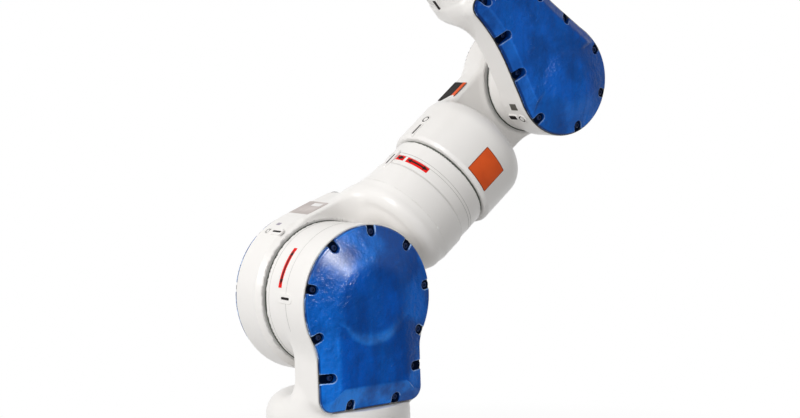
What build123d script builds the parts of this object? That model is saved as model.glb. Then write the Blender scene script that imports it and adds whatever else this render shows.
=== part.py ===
"""Seven-axis industrial robot arm: a floor base and six castings, joined by turning seams.

The arm is built in its working pose. X points forward, the bending axes lie along Y and Z is up.
The origin is on the mounting face of the base, on the first turning axis. Sizes are in millimetres.
"""

import os
from dataclasses import dataclass
from math import acos, atan2, copysign, cos, degrees, radians, sin, sqrt, tan

from build123d import *

# Distances between the bending axes
SHOULDER_HEIGHT = 410
LOWER_ARM_LENGTH = 490
UPPER_ARM_LENGTH = 420

# Working pose: how far each arm leans from upright towards +X, in degrees
LOWER_LEAN = 52.67
UPPER_LEAN = -40
HAND_LEAN = -90

# Turning seams: gap between two castings, and the seal ring that closes it
SEAM_GAP = 5
SEAL_FIT = 0.3
SEAL_STEP = 2
BAND_RAMP = 6
BAND_EASE = 3
FAR_BEVEL = 9
FAR_BEVEL_RISE = 7
APRON_TAPER = 38
APRON_INSET = 8
APRON_SHARE = 0.8

# Covers
GASKET = 1.5
COVER_INSET = 1.5
COVER_RIM = 3
COVER_CROWN = 15
COVER_DISC_HEIGHT = 19
COVER_SLOPE = 0.29
COVER_DISC = 0.5
GASKET_EDGE = 0.6
NOTCH_WIDTH = 13
NOTCH_DEPTH = 18
SIDE_NOTCH_DEPTH = 25
NOTCH_FLOOR = 2
POCKET_DEPTH = 60

# Base
BASE_PLATE = 290
BASE_PLATE_HEIGHT = 24
BASE_PLATE_CORNER = 42
BASE_BOLT_MARGIN = 25
BASE_BOLT_SPACING = BASE_PLATE - 2 * BASE_BOLT_MARGIN
BASE_BOLT_HOLE = 14
BASE_FOOT_INSET = 11
BASE_FOOT_RADIUS = BASE_PLATE / 2 - BASE_FOOT_INSET
BASE_RADIUS = 112
BASE_FOOT_HEIGHT = 64
BASE_TOP = 158
BASE_BOX_OVERHANG = 6
BASE_BOX_REACH = BASE_FOOT_RADIUS + BASE_BOX_OVERHANG
BASE_BOX_WIDTH = 124
BASE_BOX_TOP = 130
PANEL_MARGIN = 8
PANEL_THICKNESS = 4

# Connectors on the back panel
POWER_WIDTH = 70
POWER_HEIGHT = 34
POWER_DEPTH = 24
SIGNAL_RADIUS = 15
SIGNAL_DEPTH = 22
AIR_RADIUS = 6.5
AIR_DEPTH = 18
AIR_SPACING = 26
CONNECTOR_ROW = 24

# Tool flange, with the bolt circle and pilot bore of a standard 50 mm interface
TOOL_DISC_RADIUS = 44
TOOL_DISC_THICKNESS = 14.5
TOOL_HUB_RADIUS = 31.5
TOOL_HUB_LENGTH = 13
TOOL_BOLT_CIRCLE = 50
TOOL_BOLT_RADIUS = 3
TOOL_BOLT_DEPTH = 11
TOOL_BOLT_COUNT = 4
TOOL_BORE_RADIUS = 15.75
TOOL_BORE_DEPTH = 8


@dataclass
class Knuckle:
    """One bending joint: two drums side by side on one axis along Y."""

    near_radius: float
    far_radius: float
    drum_radius: float
    face: float
    seam: float
    near_inner: float
    band_inner: float
    column: float = 0


@dataclass
class Cup:
    """The round end of a casting about its turning axis: closed towards the knuckle, open at the seam."""

    radius: float
    closed: float
    seam: float
    rounding: float
    band: float
    step: float


@dataclass
class Neck:
    """The outline of a cover: a circle about the bending axis and a neck that runs along the arm."""

    root_width: float
    waist: float
    waist_width: float
    tip: float
    tip_width: float
    corner: float
    toward: int
    round_notches: tuple
    side_notches: tuple
    tip_notch: float


SHOULDER = Knuckle(
    near_radius=111, far_radius=118, drum_radius=107, face=84, seam=22, near_inner=20.5, band_inner=37
)
ELBOW = Knuckle(
    near_radius=86.5, far_radius=88, drum_radius=81, face=68, seam=16, near_inner=15, band_inner=19, column=70
)
WRIST = Knuckle(
    near_radius=62, far_radius=64, drum_radius=58, face=50.5, seam=12, near_inner=12, band_inner=15, column=52
)

# Cup ends are measured along the arm from the bending axis that the cup belongs to
TURRET_CUP = Cup(radius=106.5, closed=-137, seam=-249, rounding=35, band=0, step=3.5)
LOWER_CUP = Cup(radius=83, closed=124, seam=251, rounding=45, band=46, step=2)
ELBOW_CUP = Cup(radius=88.5, closed=-136, seam=-239, rounding=34, band=0, step=3.5)
UPPER_CUP = Cup(radius=65.5, closed=155, seam=234, rounding=35, band=26, step=1.5)
WRIST_CUP = Cup(radius=65.5, closed=-84, seam=-186, rounding=30, band=0, step=3)
HAND_CUP = Cup(radius=52, closed=82, seam=150, rounding=25, band=12, step=1.5)

# Notches on the round are in degrees from the end away from the neck, those on a side along the arm
TURRET_NECK = Neck(
    root_width=91,
    waist=95,
    waist_width=91,
    tip=157,
    tip_width=91,
    corner=22,
    toward=-1,
    round_notches=(-116, -75, -35, 4, 43, 83, 121),
    side_notches=(104,),
    tip_notch=40,
)
LOWER_NECK = Neck(
    root_width=109,
    waist=100,
    waist_width=91,
    tip=146,
    tip_width=74.5,
    corner=22,
    toward=1,
    round_notches=(-90, -45, 0, 45, 90),
    side_notches=(80,),
    tip_notch=36,
)
ELBOW_NECK = Neck(
    root_width=54,
    waist=85,
    waist_width=54,
    tip=124,
    tip_width=54,
    corner=18,
    toward=-1,
    round_notches=(-120, -80, -40, 0, 40, 80, 120),
    side_notches=(98,),
    tip_notch=24,
)
UPPER_NECK = Neck(
    root_width=84,
    waist=120,
    waist_width=60,
    tip=204,
    tip_width=54.5,
    corner=18,
    toward=1,
    round_notches=(-83, -22, 32, 85),
    side_notches=(58, 120),
    tip_notch=36,
)
WRIST_NECK = Neck(
    root_width=39,
    waist=58,
    waist_width=39,
    tip=88,
    tip_width=39,
    corner=14,
    toward=-1,
    round_notches=(-110, -55, 0, 55, 110),
    side_notches=(),
    tip_notch=20,
)
HAND_NECK = Neck(
    root_width=60,
    waist=66,
    waist_width=47,
    tip=99,
    tip_width=38,
    corner=14,
    toward=1,
    round_notches=(-85, -28, 28, 85),
    side_notches=(58,),
    tip_notch=18,
)

UPRIGHT = 0
SHOULDER_PIVOT = Vector(0, 0, SHOULDER_HEIGHT)


def along(lean):
    """Unit direction of an arm that leans from upright."""
    return Vector(sin(radians(lean)), 0, cos(radians(lean)))


def across(lean):
    """Unit direction square to an arm, in the plane that it bends in."""
    return Vector(cos(radians(lean)), 0, -sin(radians(lean)))


ELBOW_PIVOT = SHOULDER_PIVOT + along(LOWER_LEAN) * LOWER_ARM_LENGTH
WRIST_PIVOT = ELBOW_PIVOT + along(UPPER_LEAN) * UPPER_ARM_LENGTH


def side_plane(pivot, lean, y):
    """Plane square to the bending axis: x across the arm, y along it, normal towards -Y."""
    return Plane(origin=(pivot.X, y, pivot.Z), x_dir=across(lean), z_dir=(0, -1, 0))


def section_plane(pivot, lean, distance):
    """Plane square to the arm, at a distance along it from the pivot."""
    return Plane(origin=pivot + along(lean) * distance, x_dir=across(lean), z_dir=along(lean))


def add_disc(plane, radius, height, mode=Mode.ADD):
    """A round disc that rises from a plane."""
    with BuildSketch(plane) as disc:
        Circle(radius)
    extrude(disc.sketch, amount=height, mode=mode)


def add_cone(plane, low_radius, high_radius, height, mode=Mode.ADD):
    """A cone that rises from a plane."""
    with BuildSketch(plane) as low:
        Circle(low_radius)
    with BuildSketch(plane.offset(height)) as high:
        Circle(high_radius)
    loft([low.sketch, high.sketch], mode=mode)


def open_end(cup):
    """Where a cup stops, half a gap short of its seam."""
    return cup.seam - copysign(SEAM_GAP / 2, cup.seam - cup.closed)


def open_radius(cup):
    """Radius of a cup at its seam, after the step."""
    return cup.radius - cup.step


def add_cup(pivot, lean, cup):
    """The round end of a casting: a rounded closed end, a plain wall and a stepped band at the seam."""
    outward = copysign(1, cup.seam - cup.closed)
    end = open_end(cup)
    start = (0, cup.closed)
    shoulder = (cup.radius - cup.rounding, cup.closed)
    wall = (cup.radius, cup.closed + outward * cup.rounding)
    ramp = (cup.radius, end - outward * (cup.band + BAND_RAMP))
    band = (open_radius(cup), end - outward * cup.band)
    with BuildSketch(side_plane(pivot, lean, 0)) as profile:
        with BuildLine():
            Line(start, shoulder)
            TangentArc(shoulder, wall, tangent=(1, 0))
            Polyline(wall, ramp, band)
            if cup.band > 0:
                Line(band, (open_radius(cup), end))
            Polyline((open_radius(cup), end), (0, end), start)
        make_face()
    revolve(profile.sketch, axis=Axis(pivot, along(lean)))


def root_lean(radius, neck):
    """Angle on the circle, from straight across, where the neck leaves it."""
    return acos(neck.root_width / radius)


def keyhole(plane, radius, neck, grow=0):
    """Outline of a circle with a neck, grown or shrunk evenly all round."""
    lean = root_lean(radius, neck)
    side_lean = atan2(neck.waist_width - neck.tip_width, neck.tip - neck.waist)
    root_x = (radius + grow) * cos(lean)
    root_y = neck.toward * (radius + grow) * sin(lean)
    waist_x = neck.waist_width + grow
    waist_y = neck.toward * neck.waist
    tip_x = neck.tip_width + grow * (1 / cos(side_lean) - tan(side_lean))
    tip_y = neck.toward * (neck.tip + grow)
    with BuildSketch(plane) as outline:
        Circle(radius + grow)
        with BuildLine():
            Polyline((root_x, 0), (root_x, root_y), (waist_x, waist_y), (tip_x, tip_y))
            Polyline((tip_x, tip_y), (-tip_x, tip_y), (-waist_x, waist_y), (-root_x, root_y), (-root_x, 0))
            Line((-root_x, 0), (root_x, 0))
        make_face()
        ends = outline.vertices().group_by(Axis.Y)[-1 if neck.toward > 0 else 0]
        fillet(ends, max(neck.corner + grow, neck.corner / 3))
    return outline.sketch


def far_inner(knuckle):
    """How far from the middle the flat upright of a far link begins, past the bevel of its drum."""
    return knuckle.seam + SEAM_GAP / 2 + FAR_BEVEL


def add_far_drum(pivot, lean, knuckle):
    """The drum of the far link: a bevel that widens from the seam, then a plain round to the cover."""
    radius = knuckle.far_radius
    start = side_plane(pivot, lean, knuckle.seam + SEAM_GAP / 2)
    add_cone(start, radius - FAR_BEVEL_RISE, radius, -FAR_BEVEL)
    add_disc(start.offset(-FAR_BEVEL), radius, far_inner(knuckle) - knuckle.face)


def add_near_drum(pivot, lean, knuckle):
    """The drum of the near link: a wide band behind the cover and a plain round up to the seam."""
    band = side_plane(pivot, lean, -knuckle.band_inner)
    add_disc(band, knuckle.near_radius, knuckle.face - knuckle.band_inner)
    add_cone(band, knuckle.near_radius, knuckle.drum_radius, -BAND_EASE)
    add_disc(band, knuckle.drum_radius, -knuckle.band_inner - knuckle.seam + SEAM_GAP / 2)


def add_half_column(pivot, lean, knuckle, cup, side):
    """Half of a round column, flat towards the other link, from inside the cup up to the bending axis."""
    inner = knuckle.near_inner if side < 0 else knuckle.seam + SEAM_GAP / 2
    with BuildSketch(section_plane(pivot, lean, cup.closed - cup.rounding)) as half:
        Circle(cup.radius)
        with Locations((0, side * (inner + knuckle.face) / 2)):
            Rectangle(2 * knuckle.column, knuckle.face - inner, mode=Mode.INTERSECT)
    extrude(half.sketch, amount=cup.rounding - cup.closed)


def add_neck(pivot, lean, knuckle, neck, side, radius, inner):
    """The flat upright behind a cover, from the cover's seat to its inner face."""
    outline = keyhole(side_plane(pivot, lean, side * knuckle.face), radius, neck)
    extrude(outline, amount=side * (knuckle.face - inner))


def add_apron(pivot, lean, knuckle, cup, neck, side):
    """The slope from the end of a neck down to the cup that carries it."""
    with BuildSketch(section_plane(pivot, lean, neck.toward * neck.tip)) as end:
        with Locations((0, side * knuckle.face / 2)):
            Rectangle(2 * (neck.tip_width - APRON_INSET), knuckle.face)
    corner = sqrt((neck.tip_width - APRON_INSET) ** 2 + knuckle.face**2)
    drop = (corner - open_radius(cup)) * APRON_SHARE
    extrude(end.sketch, amount=neck.toward * drop / tan(radians(APRON_TAPER)), taper=APRON_TAPER)


def seat(knuckle, side):
    """Place along Y of the face that a cover is screwed to."""
    return side * knuckle.face


def outward_plane(pivot, lean, knuckle, side):
    """Plane of a cover seat: x across the arm, y along it, normal out of the casting."""
    if side < 0:
        return side_plane(pivot, lean, seat(knuckle, side))
    return Plane(origin=(pivot.X, seat(knuckle, side), pivot.Z), x_dir=across(lean) * -1, z_dir=(0, 1, 0))


def clear_cover_pocket(pivot, lean, knuckle, neck, radius, side):
    """Cut away what stands above the cover seat, a little wider than the cover."""
    outline = keyhole(outward_plane(pivot, lean, knuckle, side), radius, neck)
    extrude(outline, amount=POCKET_DEPTH, mode=Mode.SUBTRACT)


def side_width(radius, neck, reach):
    """Half width of a neck at a distance along the arm, between its root, waist and tip."""
    root = radius * sin(root_lean(radius, neck))
    if reach < neck.waist:
        share = (reach - root) / (neck.waist - root)
        return neck.root_width + share * (neck.waist_width - neck.root_width)
    share = (reach - neck.waist) / (neck.tip - neck.waist)
    return neck.waist_width + share * (neck.tip_width - neck.waist_width)


def notch_places(radius, neck):
    """Place, turn and depth of the screw notches around a cover: on the circle, the neck's sides and tip."""
    places = []
    for angle in neck.round_notches:
        turn = radians(angle)
        places.append((radius * sin(turn), -neck.toward * radius * cos(turn), angle, NOTCH_DEPTH))
    for side in (-1, 1):
        for reach in neck.side_notches:
            width = side_width(radius, neck, reach)
            places.append((side * width, neck.toward * reach, side * 90, SIDE_NOTCH_DEPTH))
        places.append((side * neck.tip_notch, neck.toward * neck.tip, 180, NOTCH_DEPTH))
    return [(x, y, turn if neck.toward < 0 else 180 - turn, depth) for x, y, turn, depth in places]


def make_gasket(pivot, lean, knuckle, neck, radius, side):
    """Thin dark sheet between a casting and its cover."""
    with BuildPart() as gasket:
        plane = outward_plane(pivot, lean, knuckle, side)
        extrude(keyhole(plane, radius, neck, grow=-COVER_INSET - GASKET_EDGE), amount=GASKET)
    return gasket.part


def make_cover(pivot, lean, knuckle, neck, radius, side):
    """Moulded cover: an upright rim, a slope up to the crown, a low round dome and open screw notches."""
    plane = outward_plane(pivot, lean, knuckle, side).offset(GASKET)
    rim_plane = plane.offset(COVER_RIM)
    slope = radius * COVER_SLOPE
    with BuildPart() as cover:
        extrude(keyhole(plane, radius, neck, grow=-COVER_INSET), amount=COVER_RIM)
        low = keyhole(rim_plane, radius, neck, grow=-COVER_INSET)
        high = keyhole(plane.offset(COVER_CROWN), radius, neck, grow=-COVER_INSET - slope)
        loft([low, high])
        add_cone(rim_plane, radius - slope / 2, radius * COVER_DISC, COVER_DISC_HEIGHT - COVER_RIM)
        with BuildSketch(plane.offset(NOTCH_FLOOR)) as notches:
            for x, y, turn, depth in notch_places(radius, neck):
                with Locations(Location((x, y, 0), (0, 0, -turn))):
                    SlotOverall(2 * depth, NOTCH_WIDTH, rotation=90)
        extrude(notches.sketch, amount=COVER_DISC_HEIGHT, mode=Mode.SUBTRACT)
    return cover.part


def make_pin_seal(pivot, lean, knuckle):
    """Dark ring on the near drum that closes the seam of a bending joint."""
    with BuildPart() as seal:
        start = knuckle.seam - SEAM_GAP / 2
        add_disc(side_plane(pivot, lean, start), knuckle.drum_radius - SEAL_STEP, SEAL_FIT - SEAM_GAP)
    return seal.part


def make_turn_seal(pivot, lean, cup):
    """Dark ring that closes the seam of a turning joint, seated on the casting whose cup opens to it."""
    with BuildPart() as seal:
        start = cup.seam - SEAM_GAP / 2
        add_disc(section_plane(pivot, lean, start), open_radius(cup) - SEAL_STEP, SEAM_GAP - SEAL_FIT)
    return seal.part


NEAR = -1
FAR = 1

# Base
with BuildPart() as base_casting:
    with BuildSketch() as plate:
        RectangleRounded(BASE_PLATE, BASE_PLATE, BASE_PLATE_CORNER)
    extrude(amount=BASE_PLATE_HEIGHT)
    plate_top = Plane.XY.offset(BASE_PLATE_HEIGHT)
    add_cone(plate_top, BASE_FOOT_RADIUS, BASE_RADIUS, BASE_FOOT_HEIGHT - BASE_PLATE_HEIGHT)
    add_disc(Plane.XY.offset(BASE_FOOT_HEIGHT), BASE_RADIUS, BASE_TOP - BASE_FOOT_HEIGHT)
    with BuildSketch(plate_top):
        with Locations((-BASE_BOX_REACH / 2, 0)):
            Rectangle(BASE_BOX_REACH, BASE_BOX_WIDTH)
    extrude(amount=BASE_BOX_TOP - BASE_PLATE_HEIGHT)
    with BuildSketch(Plane.XY):
        with GridLocations(BASE_BOLT_SPACING, BASE_BOLT_SPACING, 2, 2):
            Circle(BASE_BOLT_HOLE / 2)
    extrude(amount=BASE_PLATE_HEIGHT, mode=Mode.SUBTRACT)

PANEL_WIDTH = BASE_BOX_WIDTH - 2 * PANEL_MARGIN
PANEL_HEIGHT = BASE_BOX_TOP - BASE_PLATE_HEIGHT - 2 * PANEL_MARGIN
back_plane = Plane(
    origin=(-BASE_BOX_REACH, 0, (BASE_BOX_TOP + BASE_PLATE_HEIGHT) / 2), x_dir=(0, -1, 0), z_dir=(-1, 0, 0)
)
panel_face = back_plane.offset(PANEL_THICKNESS)

with BuildPart() as connector_panel:
    with BuildSketch(back_plane):
        Rectangle(PANEL_WIDTH, PANEL_HEIGHT)
    extrude(amount=PANEL_THICKNESS)

with BuildPart() as power_connector:
    with BuildSketch(panel_face):
        with Locations((0, -CONNECTOR_ROW)):
            RectangleRounded(POWER_WIDTH, POWER_HEIGHT, POWER_HEIGHT / 6)
    extrude(amount=POWER_DEPTH)

with BuildPart() as signal_connector:
    with BuildSketch(panel_face):
        with Locations((-AIR_SPACING, CONNECTOR_ROW)):
            Circle(SIGNAL_RADIUS)
    extrude(amount=SIGNAL_DEPTH)

with BuildPart() as air_fittings:
    with BuildSketch(panel_face):
        with Locations((AIR_SPACING / 2, CONNECTOR_ROW), (AIR_SPACING * 3 / 2, CONNECTOR_ROW)):
            RegularPolygon(AIR_RADIUS, 6)
    extrude(amount=AIR_DEPTH)

with BuildPart() as base_seal:
    add_disc(Plane.XY.offset(BASE_TOP), open_radius(TURRET_CUP) - SEAL_STEP, SEAM_GAP - SEAL_FIT)

# Turret
with BuildPart() as turret_casting:
    add_cup(SHOULDER_PIVOT, UPRIGHT, TURRET_CUP)
    add_neck(SHOULDER_PIVOT, UPRIGHT, SHOULDER, TURRET_NECK, NEAR, SHOULDER.near_radius, SHOULDER.band_inner)
    add_neck(SHOULDER_PIVOT, UPRIGHT, SHOULDER, TURRET_NECK, NEAR, SHOULDER.drum_radius, SHOULDER.near_inner)
    add_near_drum(SHOULDER_PIVOT, UPRIGHT, SHOULDER)
    add_apron(SHOULDER_PIVOT, UPRIGHT, SHOULDER, TURRET_CUP, TURRET_NECK, NEAR)
    clear_cover_pocket(SHOULDER_PIVOT, UPRIGHT, SHOULDER, TURRET_NECK, SHOULDER.near_radius, NEAR)

# Lower arm
with BuildPart() as lower_arm_casting:
    add_cup(SHOULDER_PIVOT, LOWER_LEAN, LOWER_CUP)
    add_neck(SHOULDER_PIVOT, LOWER_LEAN, SHOULDER, LOWER_NECK, FAR, SHOULDER.far_radius, far_inner(SHOULDER))
    add_apron(SHOULDER_PIVOT, LOWER_LEAN, SHOULDER, LOWER_CUP, LOWER_NECK, FAR)
    add_far_drum(SHOULDER_PIVOT, LOWER_LEAN, SHOULDER)

# Elbow
with BuildPart() as elbow_casting:
    add_cup(ELBOW_PIVOT, LOWER_LEAN, ELBOW_CUP)
    add_half_column(ELBOW_PIVOT, LOWER_LEAN, ELBOW, ELBOW_CUP, FAR)
    add_far_drum(ELBOW_PIVOT, LOWER_LEAN, ELBOW)

# Upper arm
with BuildPart() as upper_arm_casting:
    add_cup(ELBOW_PIVOT, UPPER_LEAN, UPPER_CUP)
    add_neck(ELBOW_PIVOT, UPPER_LEAN, ELBOW, UPPER_NECK, NEAR, ELBOW.near_radius, ELBOW.band_inner)
    add_apron(ELBOW_PIVOT, UPPER_LEAN, ELBOW, UPPER_CUP, UPPER_NECK, NEAR)
    add_near_drum(ELBOW_PIVOT, UPPER_LEAN, ELBOW)

# Wrist
with BuildPart() as wrist_casting:
    add_cup(WRIST_PIVOT, UPPER_LEAN, WRIST_CUP)
    add_half_column(WRIST_PIVOT, UPPER_LEAN, WRIST, WRIST_CUP, NEAR)
    add_near_drum(WRIST_PIVOT, UPPER_LEAN, WRIST)

# Hand
with BuildPart() as hand_casting:
    add_cup(WRIST_PIVOT, HAND_LEAN, HAND_CUP)
    add_neck(WRIST_PIVOT, HAND_LEAN, WRIST, HAND_NECK, FAR, WRIST.far_radius, far_inner(WRIST))
    add_apron(WRIST_PIVOT, HAND_LEAN, WRIST, HAND_CUP, HAND_NECK, FAR)
    add_far_drum(WRIST_PIVOT, HAND_LEAN, WRIST)

# Tool flange
with BuildPart() as tool_flange:
    disc_plane = section_plane(WRIST_PIVOT, HAND_LEAN, HAND_CUP.seam + SEAM_GAP / 2)
    hub_plane = disc_plane.offset(TOOL_DISC_THICKNESS)
    tool_face = hub_plane.offset(TOOL_HUB_LENGTH)
    add_disc(disc_plane, TOOL_DISC_RADIUS, TOOL_DISC_THICKNESS)
    add_disc(hub_plane, TOOL_HUB_RADIUS, TOOL_HUB_LENGTH)
    add_disc(tool_face, TOOL_BORE_RADIUS, -TOOL_BORE_DEPTH, mode=Mode.SUBTRACT)
    with BuildSketch(tool_face):
        with PolarLocations(TOOL_BOLT_CIRCLE / 2, TOOL_BOLT_COUNT, start_angle=45):
            Circle(TOOL_BOLT_RADIUS)
    extrude(amount=-TOOL_BOLT_DEPTH, mode=Mode.SUBTRACT)

covered = {
    "turret": (SHOULDER_PIVOT, UPRIGHT, SHOULDER, TURRET_NECK, SHOULDER.near_radius, NEAR),
    "lower_arm": (SHOULDER_PIVOT, LOWER_LEAN, SHOULDER, LOWER_NECK, SHOULDER.far_radius, FAR),
    "elbow": (ELBOW_PIVOT, LOWER_LEAN, ELBOW, ELBOW_NECK, ELBOW.far_radius, FAR),
    "upper_arm": (ELBOW_PIVOT, UPPER_LEAN, ELBOW, UPPER_NECK, ELBOW.near_radius, NEAR),
    "wrist": (WRIST_PIVOT, UPPER_LEAN, WRIST, WRIST_NECK, WRIST.near_radius, NEAR),
    "hand": (WRIST_PIVOT, HAND_LEAN, WRIST, HAND_NECK, WRIST.far_radius, FAR),
}

pieces = {
    "base_casting": base_casting.part,
    "connector_panel": connector_panel.part,
    "power_connector": power_connector.part,
    "signal_connector": signal_connector.part,
    "air_fittings": air_fittings.part,
    "base_seal": base_seal.part,
    "turret_casting": turret_casting.part,
    "shoulder_seal": make_pin_seal(SHOULDER_PIVOT, UPRIGHT, SHOULDER),
    "lower_arm_casting": lower_arm_casting.part,
    "lower_arm_seal": make_turn_seal(SHOULDER_PIVOT, LOWER_LEAN, LOWER_CUP),
    "elbow_casting": elbow_casting.part,
    "elbow_seal": make_pin_seal(ELBOW_PIVOT, UPPER_LEAN, ELBOW),
    "upper_arm_casting": upper_arm_casting.part,
    "upper_arm_seal": make_turn_seal(ELBOW_PIVOT, UPPER_LEAN, UPPER_CUP),
    "wrist_casting": wrist_casting.part,
    "wrist_seal": make_pin_seal(WRIST_PIVOT, UPPER_LEAN, WRIST),
    "hand_casting": hand_casting.part,
    "hand_seal": make_turn_seal(WRIST_PIVOT, HAND_LEAN, HAND_CUP),
    "tool_flange": tool_flange.part,
}
for name, where in covered.items():
    pieces[name + "_gasket"] = make_gasket(*where)
    pieces[name + "_cover"] = make_cover(*where)

os.makedirs("parts", exist_ok=True)
for name, piece in pieces.items():
    piece.label = name
    export_step(piece, f"parts/{name}.step")
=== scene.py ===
# %% [markdown]
# # A seven-axis robot arm, dressed around its CAD frame
# The CAD model gives every casting, cover and seal its place, and this lesson gives them their looks.
# A real arm of this kind is a chain of aluminium castings with thick white paint and soft fillets, closed by
# moulded blue covers. We load the imported frame first.

# %% Load the frame
import math
from collections import namedtuple

import bpy
import numpy as np
from mathutils import Matrix, Vector


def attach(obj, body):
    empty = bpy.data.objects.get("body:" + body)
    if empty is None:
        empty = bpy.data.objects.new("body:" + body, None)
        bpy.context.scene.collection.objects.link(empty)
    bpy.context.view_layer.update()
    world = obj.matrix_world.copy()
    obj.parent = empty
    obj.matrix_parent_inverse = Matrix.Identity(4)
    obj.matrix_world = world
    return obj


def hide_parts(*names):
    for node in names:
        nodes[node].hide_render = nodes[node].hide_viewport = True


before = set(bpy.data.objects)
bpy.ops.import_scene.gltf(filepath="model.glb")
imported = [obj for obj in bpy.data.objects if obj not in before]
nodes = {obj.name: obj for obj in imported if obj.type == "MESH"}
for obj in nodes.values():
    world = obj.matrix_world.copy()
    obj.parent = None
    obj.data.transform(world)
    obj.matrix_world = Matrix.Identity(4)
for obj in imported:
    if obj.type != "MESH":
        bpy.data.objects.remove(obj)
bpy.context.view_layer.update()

# %% [markdown]
# ## The camera
# The photograph was taken with a long lens from the front left, a little above the shoulder. Its place was
# worked out from the round covers, whose real outlines are known, so the lens and the slight roll are fixed
# numbers here. We build the camera's axes by hand because a roll is easier to read that way.

# %% Camera
CAMERA_AZIMUTH = math.radians(-35.78)
CAMERA_HEIGHT_ANGLE = math.radians(5.91)
CAMERA_ROLL = math.radians(-1.83)
CAMERA_PLACE = Vector((-1.8292, -2.7107, 0.8718))
CAMERA_LENS = 100.85


def add_object(name, data):
    """A new object in the scene."""
    thing = bpy.data.objects.new(name, data)
    bpy.context.scene.collection.objects.link(thing)
    return thing


level = math.cos(CAMERA_HEIGHT_ANGLE)
backward = Vector(
    (
        math.sin(CAMERA_AZIMUTH) * level,
        -math.cos(CAMERA_AZIMUTH) * level,
        math.sin(CAMERA_HEIGHT_ANGLE),
    )
)
level_right = (-backward).cross(Vector((0, 0, 1))).normalized()
level_up = level_right.cross(-backward)
camera_right = math.cos(CAMERA_ROLL) * level_right + math.sin(CAMERA_ROLL) * level_up
camera_up = math.cos(CAMERA_ROLL) * level_up - math.sin(CAMERA_ROLL) * level_right
camera = add_object("camera", bpy.data.cameras.new("camera"))
camera.data.sensor_width = 36
camera.data.lens = CAMERA_LENS
camera.data.clip_end = 60
axes = Matrix((camera_right, camera_up, backward)).transposed().to_4x4()
camera.matrix_world = Matrix.Translation(CAMERA_PLACE) @ axes
bpy.context.scene.camera = camera
print("camera at", tuple(round(x, 2) for x in CAMERA_PLACE))

# %% [markdown]
# ## Studio
# The arm stands in a white studio: a pale floor, a sky that is brighter towards a window, three soft boxes,
# and a small card that shows only in reflections. The sky and the floor turn plain white for the camera and
# for reflections by way of the Light Path node, so the white doesn't put more light on the paint. The floor
# keeps a share of its real shading, so the arm still casts a soft shadow. The first cell holds the node tools
# that the studio and all the finishes share.


# %% Node tools
def wire(tree, source, target):
    """Join two shader sockets."""
    tree.links.new(source, target)


def feed(tree, socket, value):
    """Give a socket a number, or wire another socket to it."""
    if isinstance(value, (int, float)):
        socket.default_value = value
    else:
        wire(tree, value, socket)


def calc(tree, operation, *values):
    """A math node whose inputs are sockets or numbers."""
    node = tree.nodes.new("ShaderNodeMath")
    node.operation = operation
    for socket, value in zip(node.inputs, values):
        feed(tree, socket, value)
    return node.outputs[0]


def ramp_between(tree, value, low, high, to_low=0.0, to_high=1.0, kind="SMOOTHSTEP"):
    """A value spread from low..high to to_low..to_high, held at both ends."""
    node = tree.nodes.new("ShaderNodeMapRange")
    node.interpolation_type = kind
    wire(tree, value, node.inputs["Value"])
    for label, number in (("From Min", low), ("From Max", high), ("To Min", to_low), ("To Max", to_high)):
        feed(tree, node.inputs[label], number)
    return node.outputs["Result"]


# %% Sky and floor
SKY_COLOR = (1.0, 0.99, 0.978, 1)
SKY_BRIGHT = 0.8
SKY_DARK = 0.17
WINDOW_SIDE = (-0.86, 0.22, 0.46)
FLOOR_SIZE = 40
FLOOR_GREY = (0.4, 0.4, 0.4, 1)
FLOOR_WHITE = 0.8
FLOOR_SHADED = (0.35, 1.3)


def seen_directly(tree):
    """1 for camera, glossy and transmission rays, 0 for the rays that light the object."""
    path = tree.nodes.new("ShaderNodeLightPath").outputs
    direct = calc(tree, "MAXIMUM", path["Is Camera Ray"], path["Is Glossy Ray"])
    return calc(tree, "MAXIMUM", direct, path["Is Transmission Ray"])


def mix_white(tree, share, lit, white, out):
    """Mix a lit shader with a plain white one by a share, and wire the mix to an output node."""
    mix = tree.nodes.new("ShaderNodeMixShader")
    wire(tree, share, mix.inputs[0])
    wire(tree, lit.outputs[0], mix.inputs[1])
    wire(tree, white.outputs[0], mix.inputs[2])
    wire(tree, mix.outputs[0], out.inputs["Surface"])


def make_sky():
    """A world that lights more strongly from the window's side, and looks white."""
    sky = bpy.data.worlds.new("studio_sky")
    sky.use_nodes = True
    tree = sky.node_tree
    tree.nodes.clear()
    direction = tree.nodes.new("ShaderNodeTexCoord")
    toward = tree.nodes.new("ShaderNodeVectorMath")
    toward.operation = "DOT_PRODUCT"
    toward.inputs[1].default_value = WINDOW_SIDE
    wire(tree, direction.outputs["Generated"], toward.inputs[0])
    light = tree.nodes.new("ShaderNodeBackground")
    light.inputs["Color"].default_value = SKY_COLOR
    strength = ramp_between(tree, toward.outputs["Value"], -1, 1, SKY_DARK, SKY_BRIGHT, "LINEAR")
    wire(tree, strength, light.inputs["Strength"])
    white = tree.nodes.new("ShaderNodeBackground")
    white.inputs["Color"].default_value = (1, 1, 1, 1)
    mix_white(tree, seen_directly(tree), light, white, tree.nodes.new("ShaderNodeOutputWorld"))
    bpy.context.scene.world = sky


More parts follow.
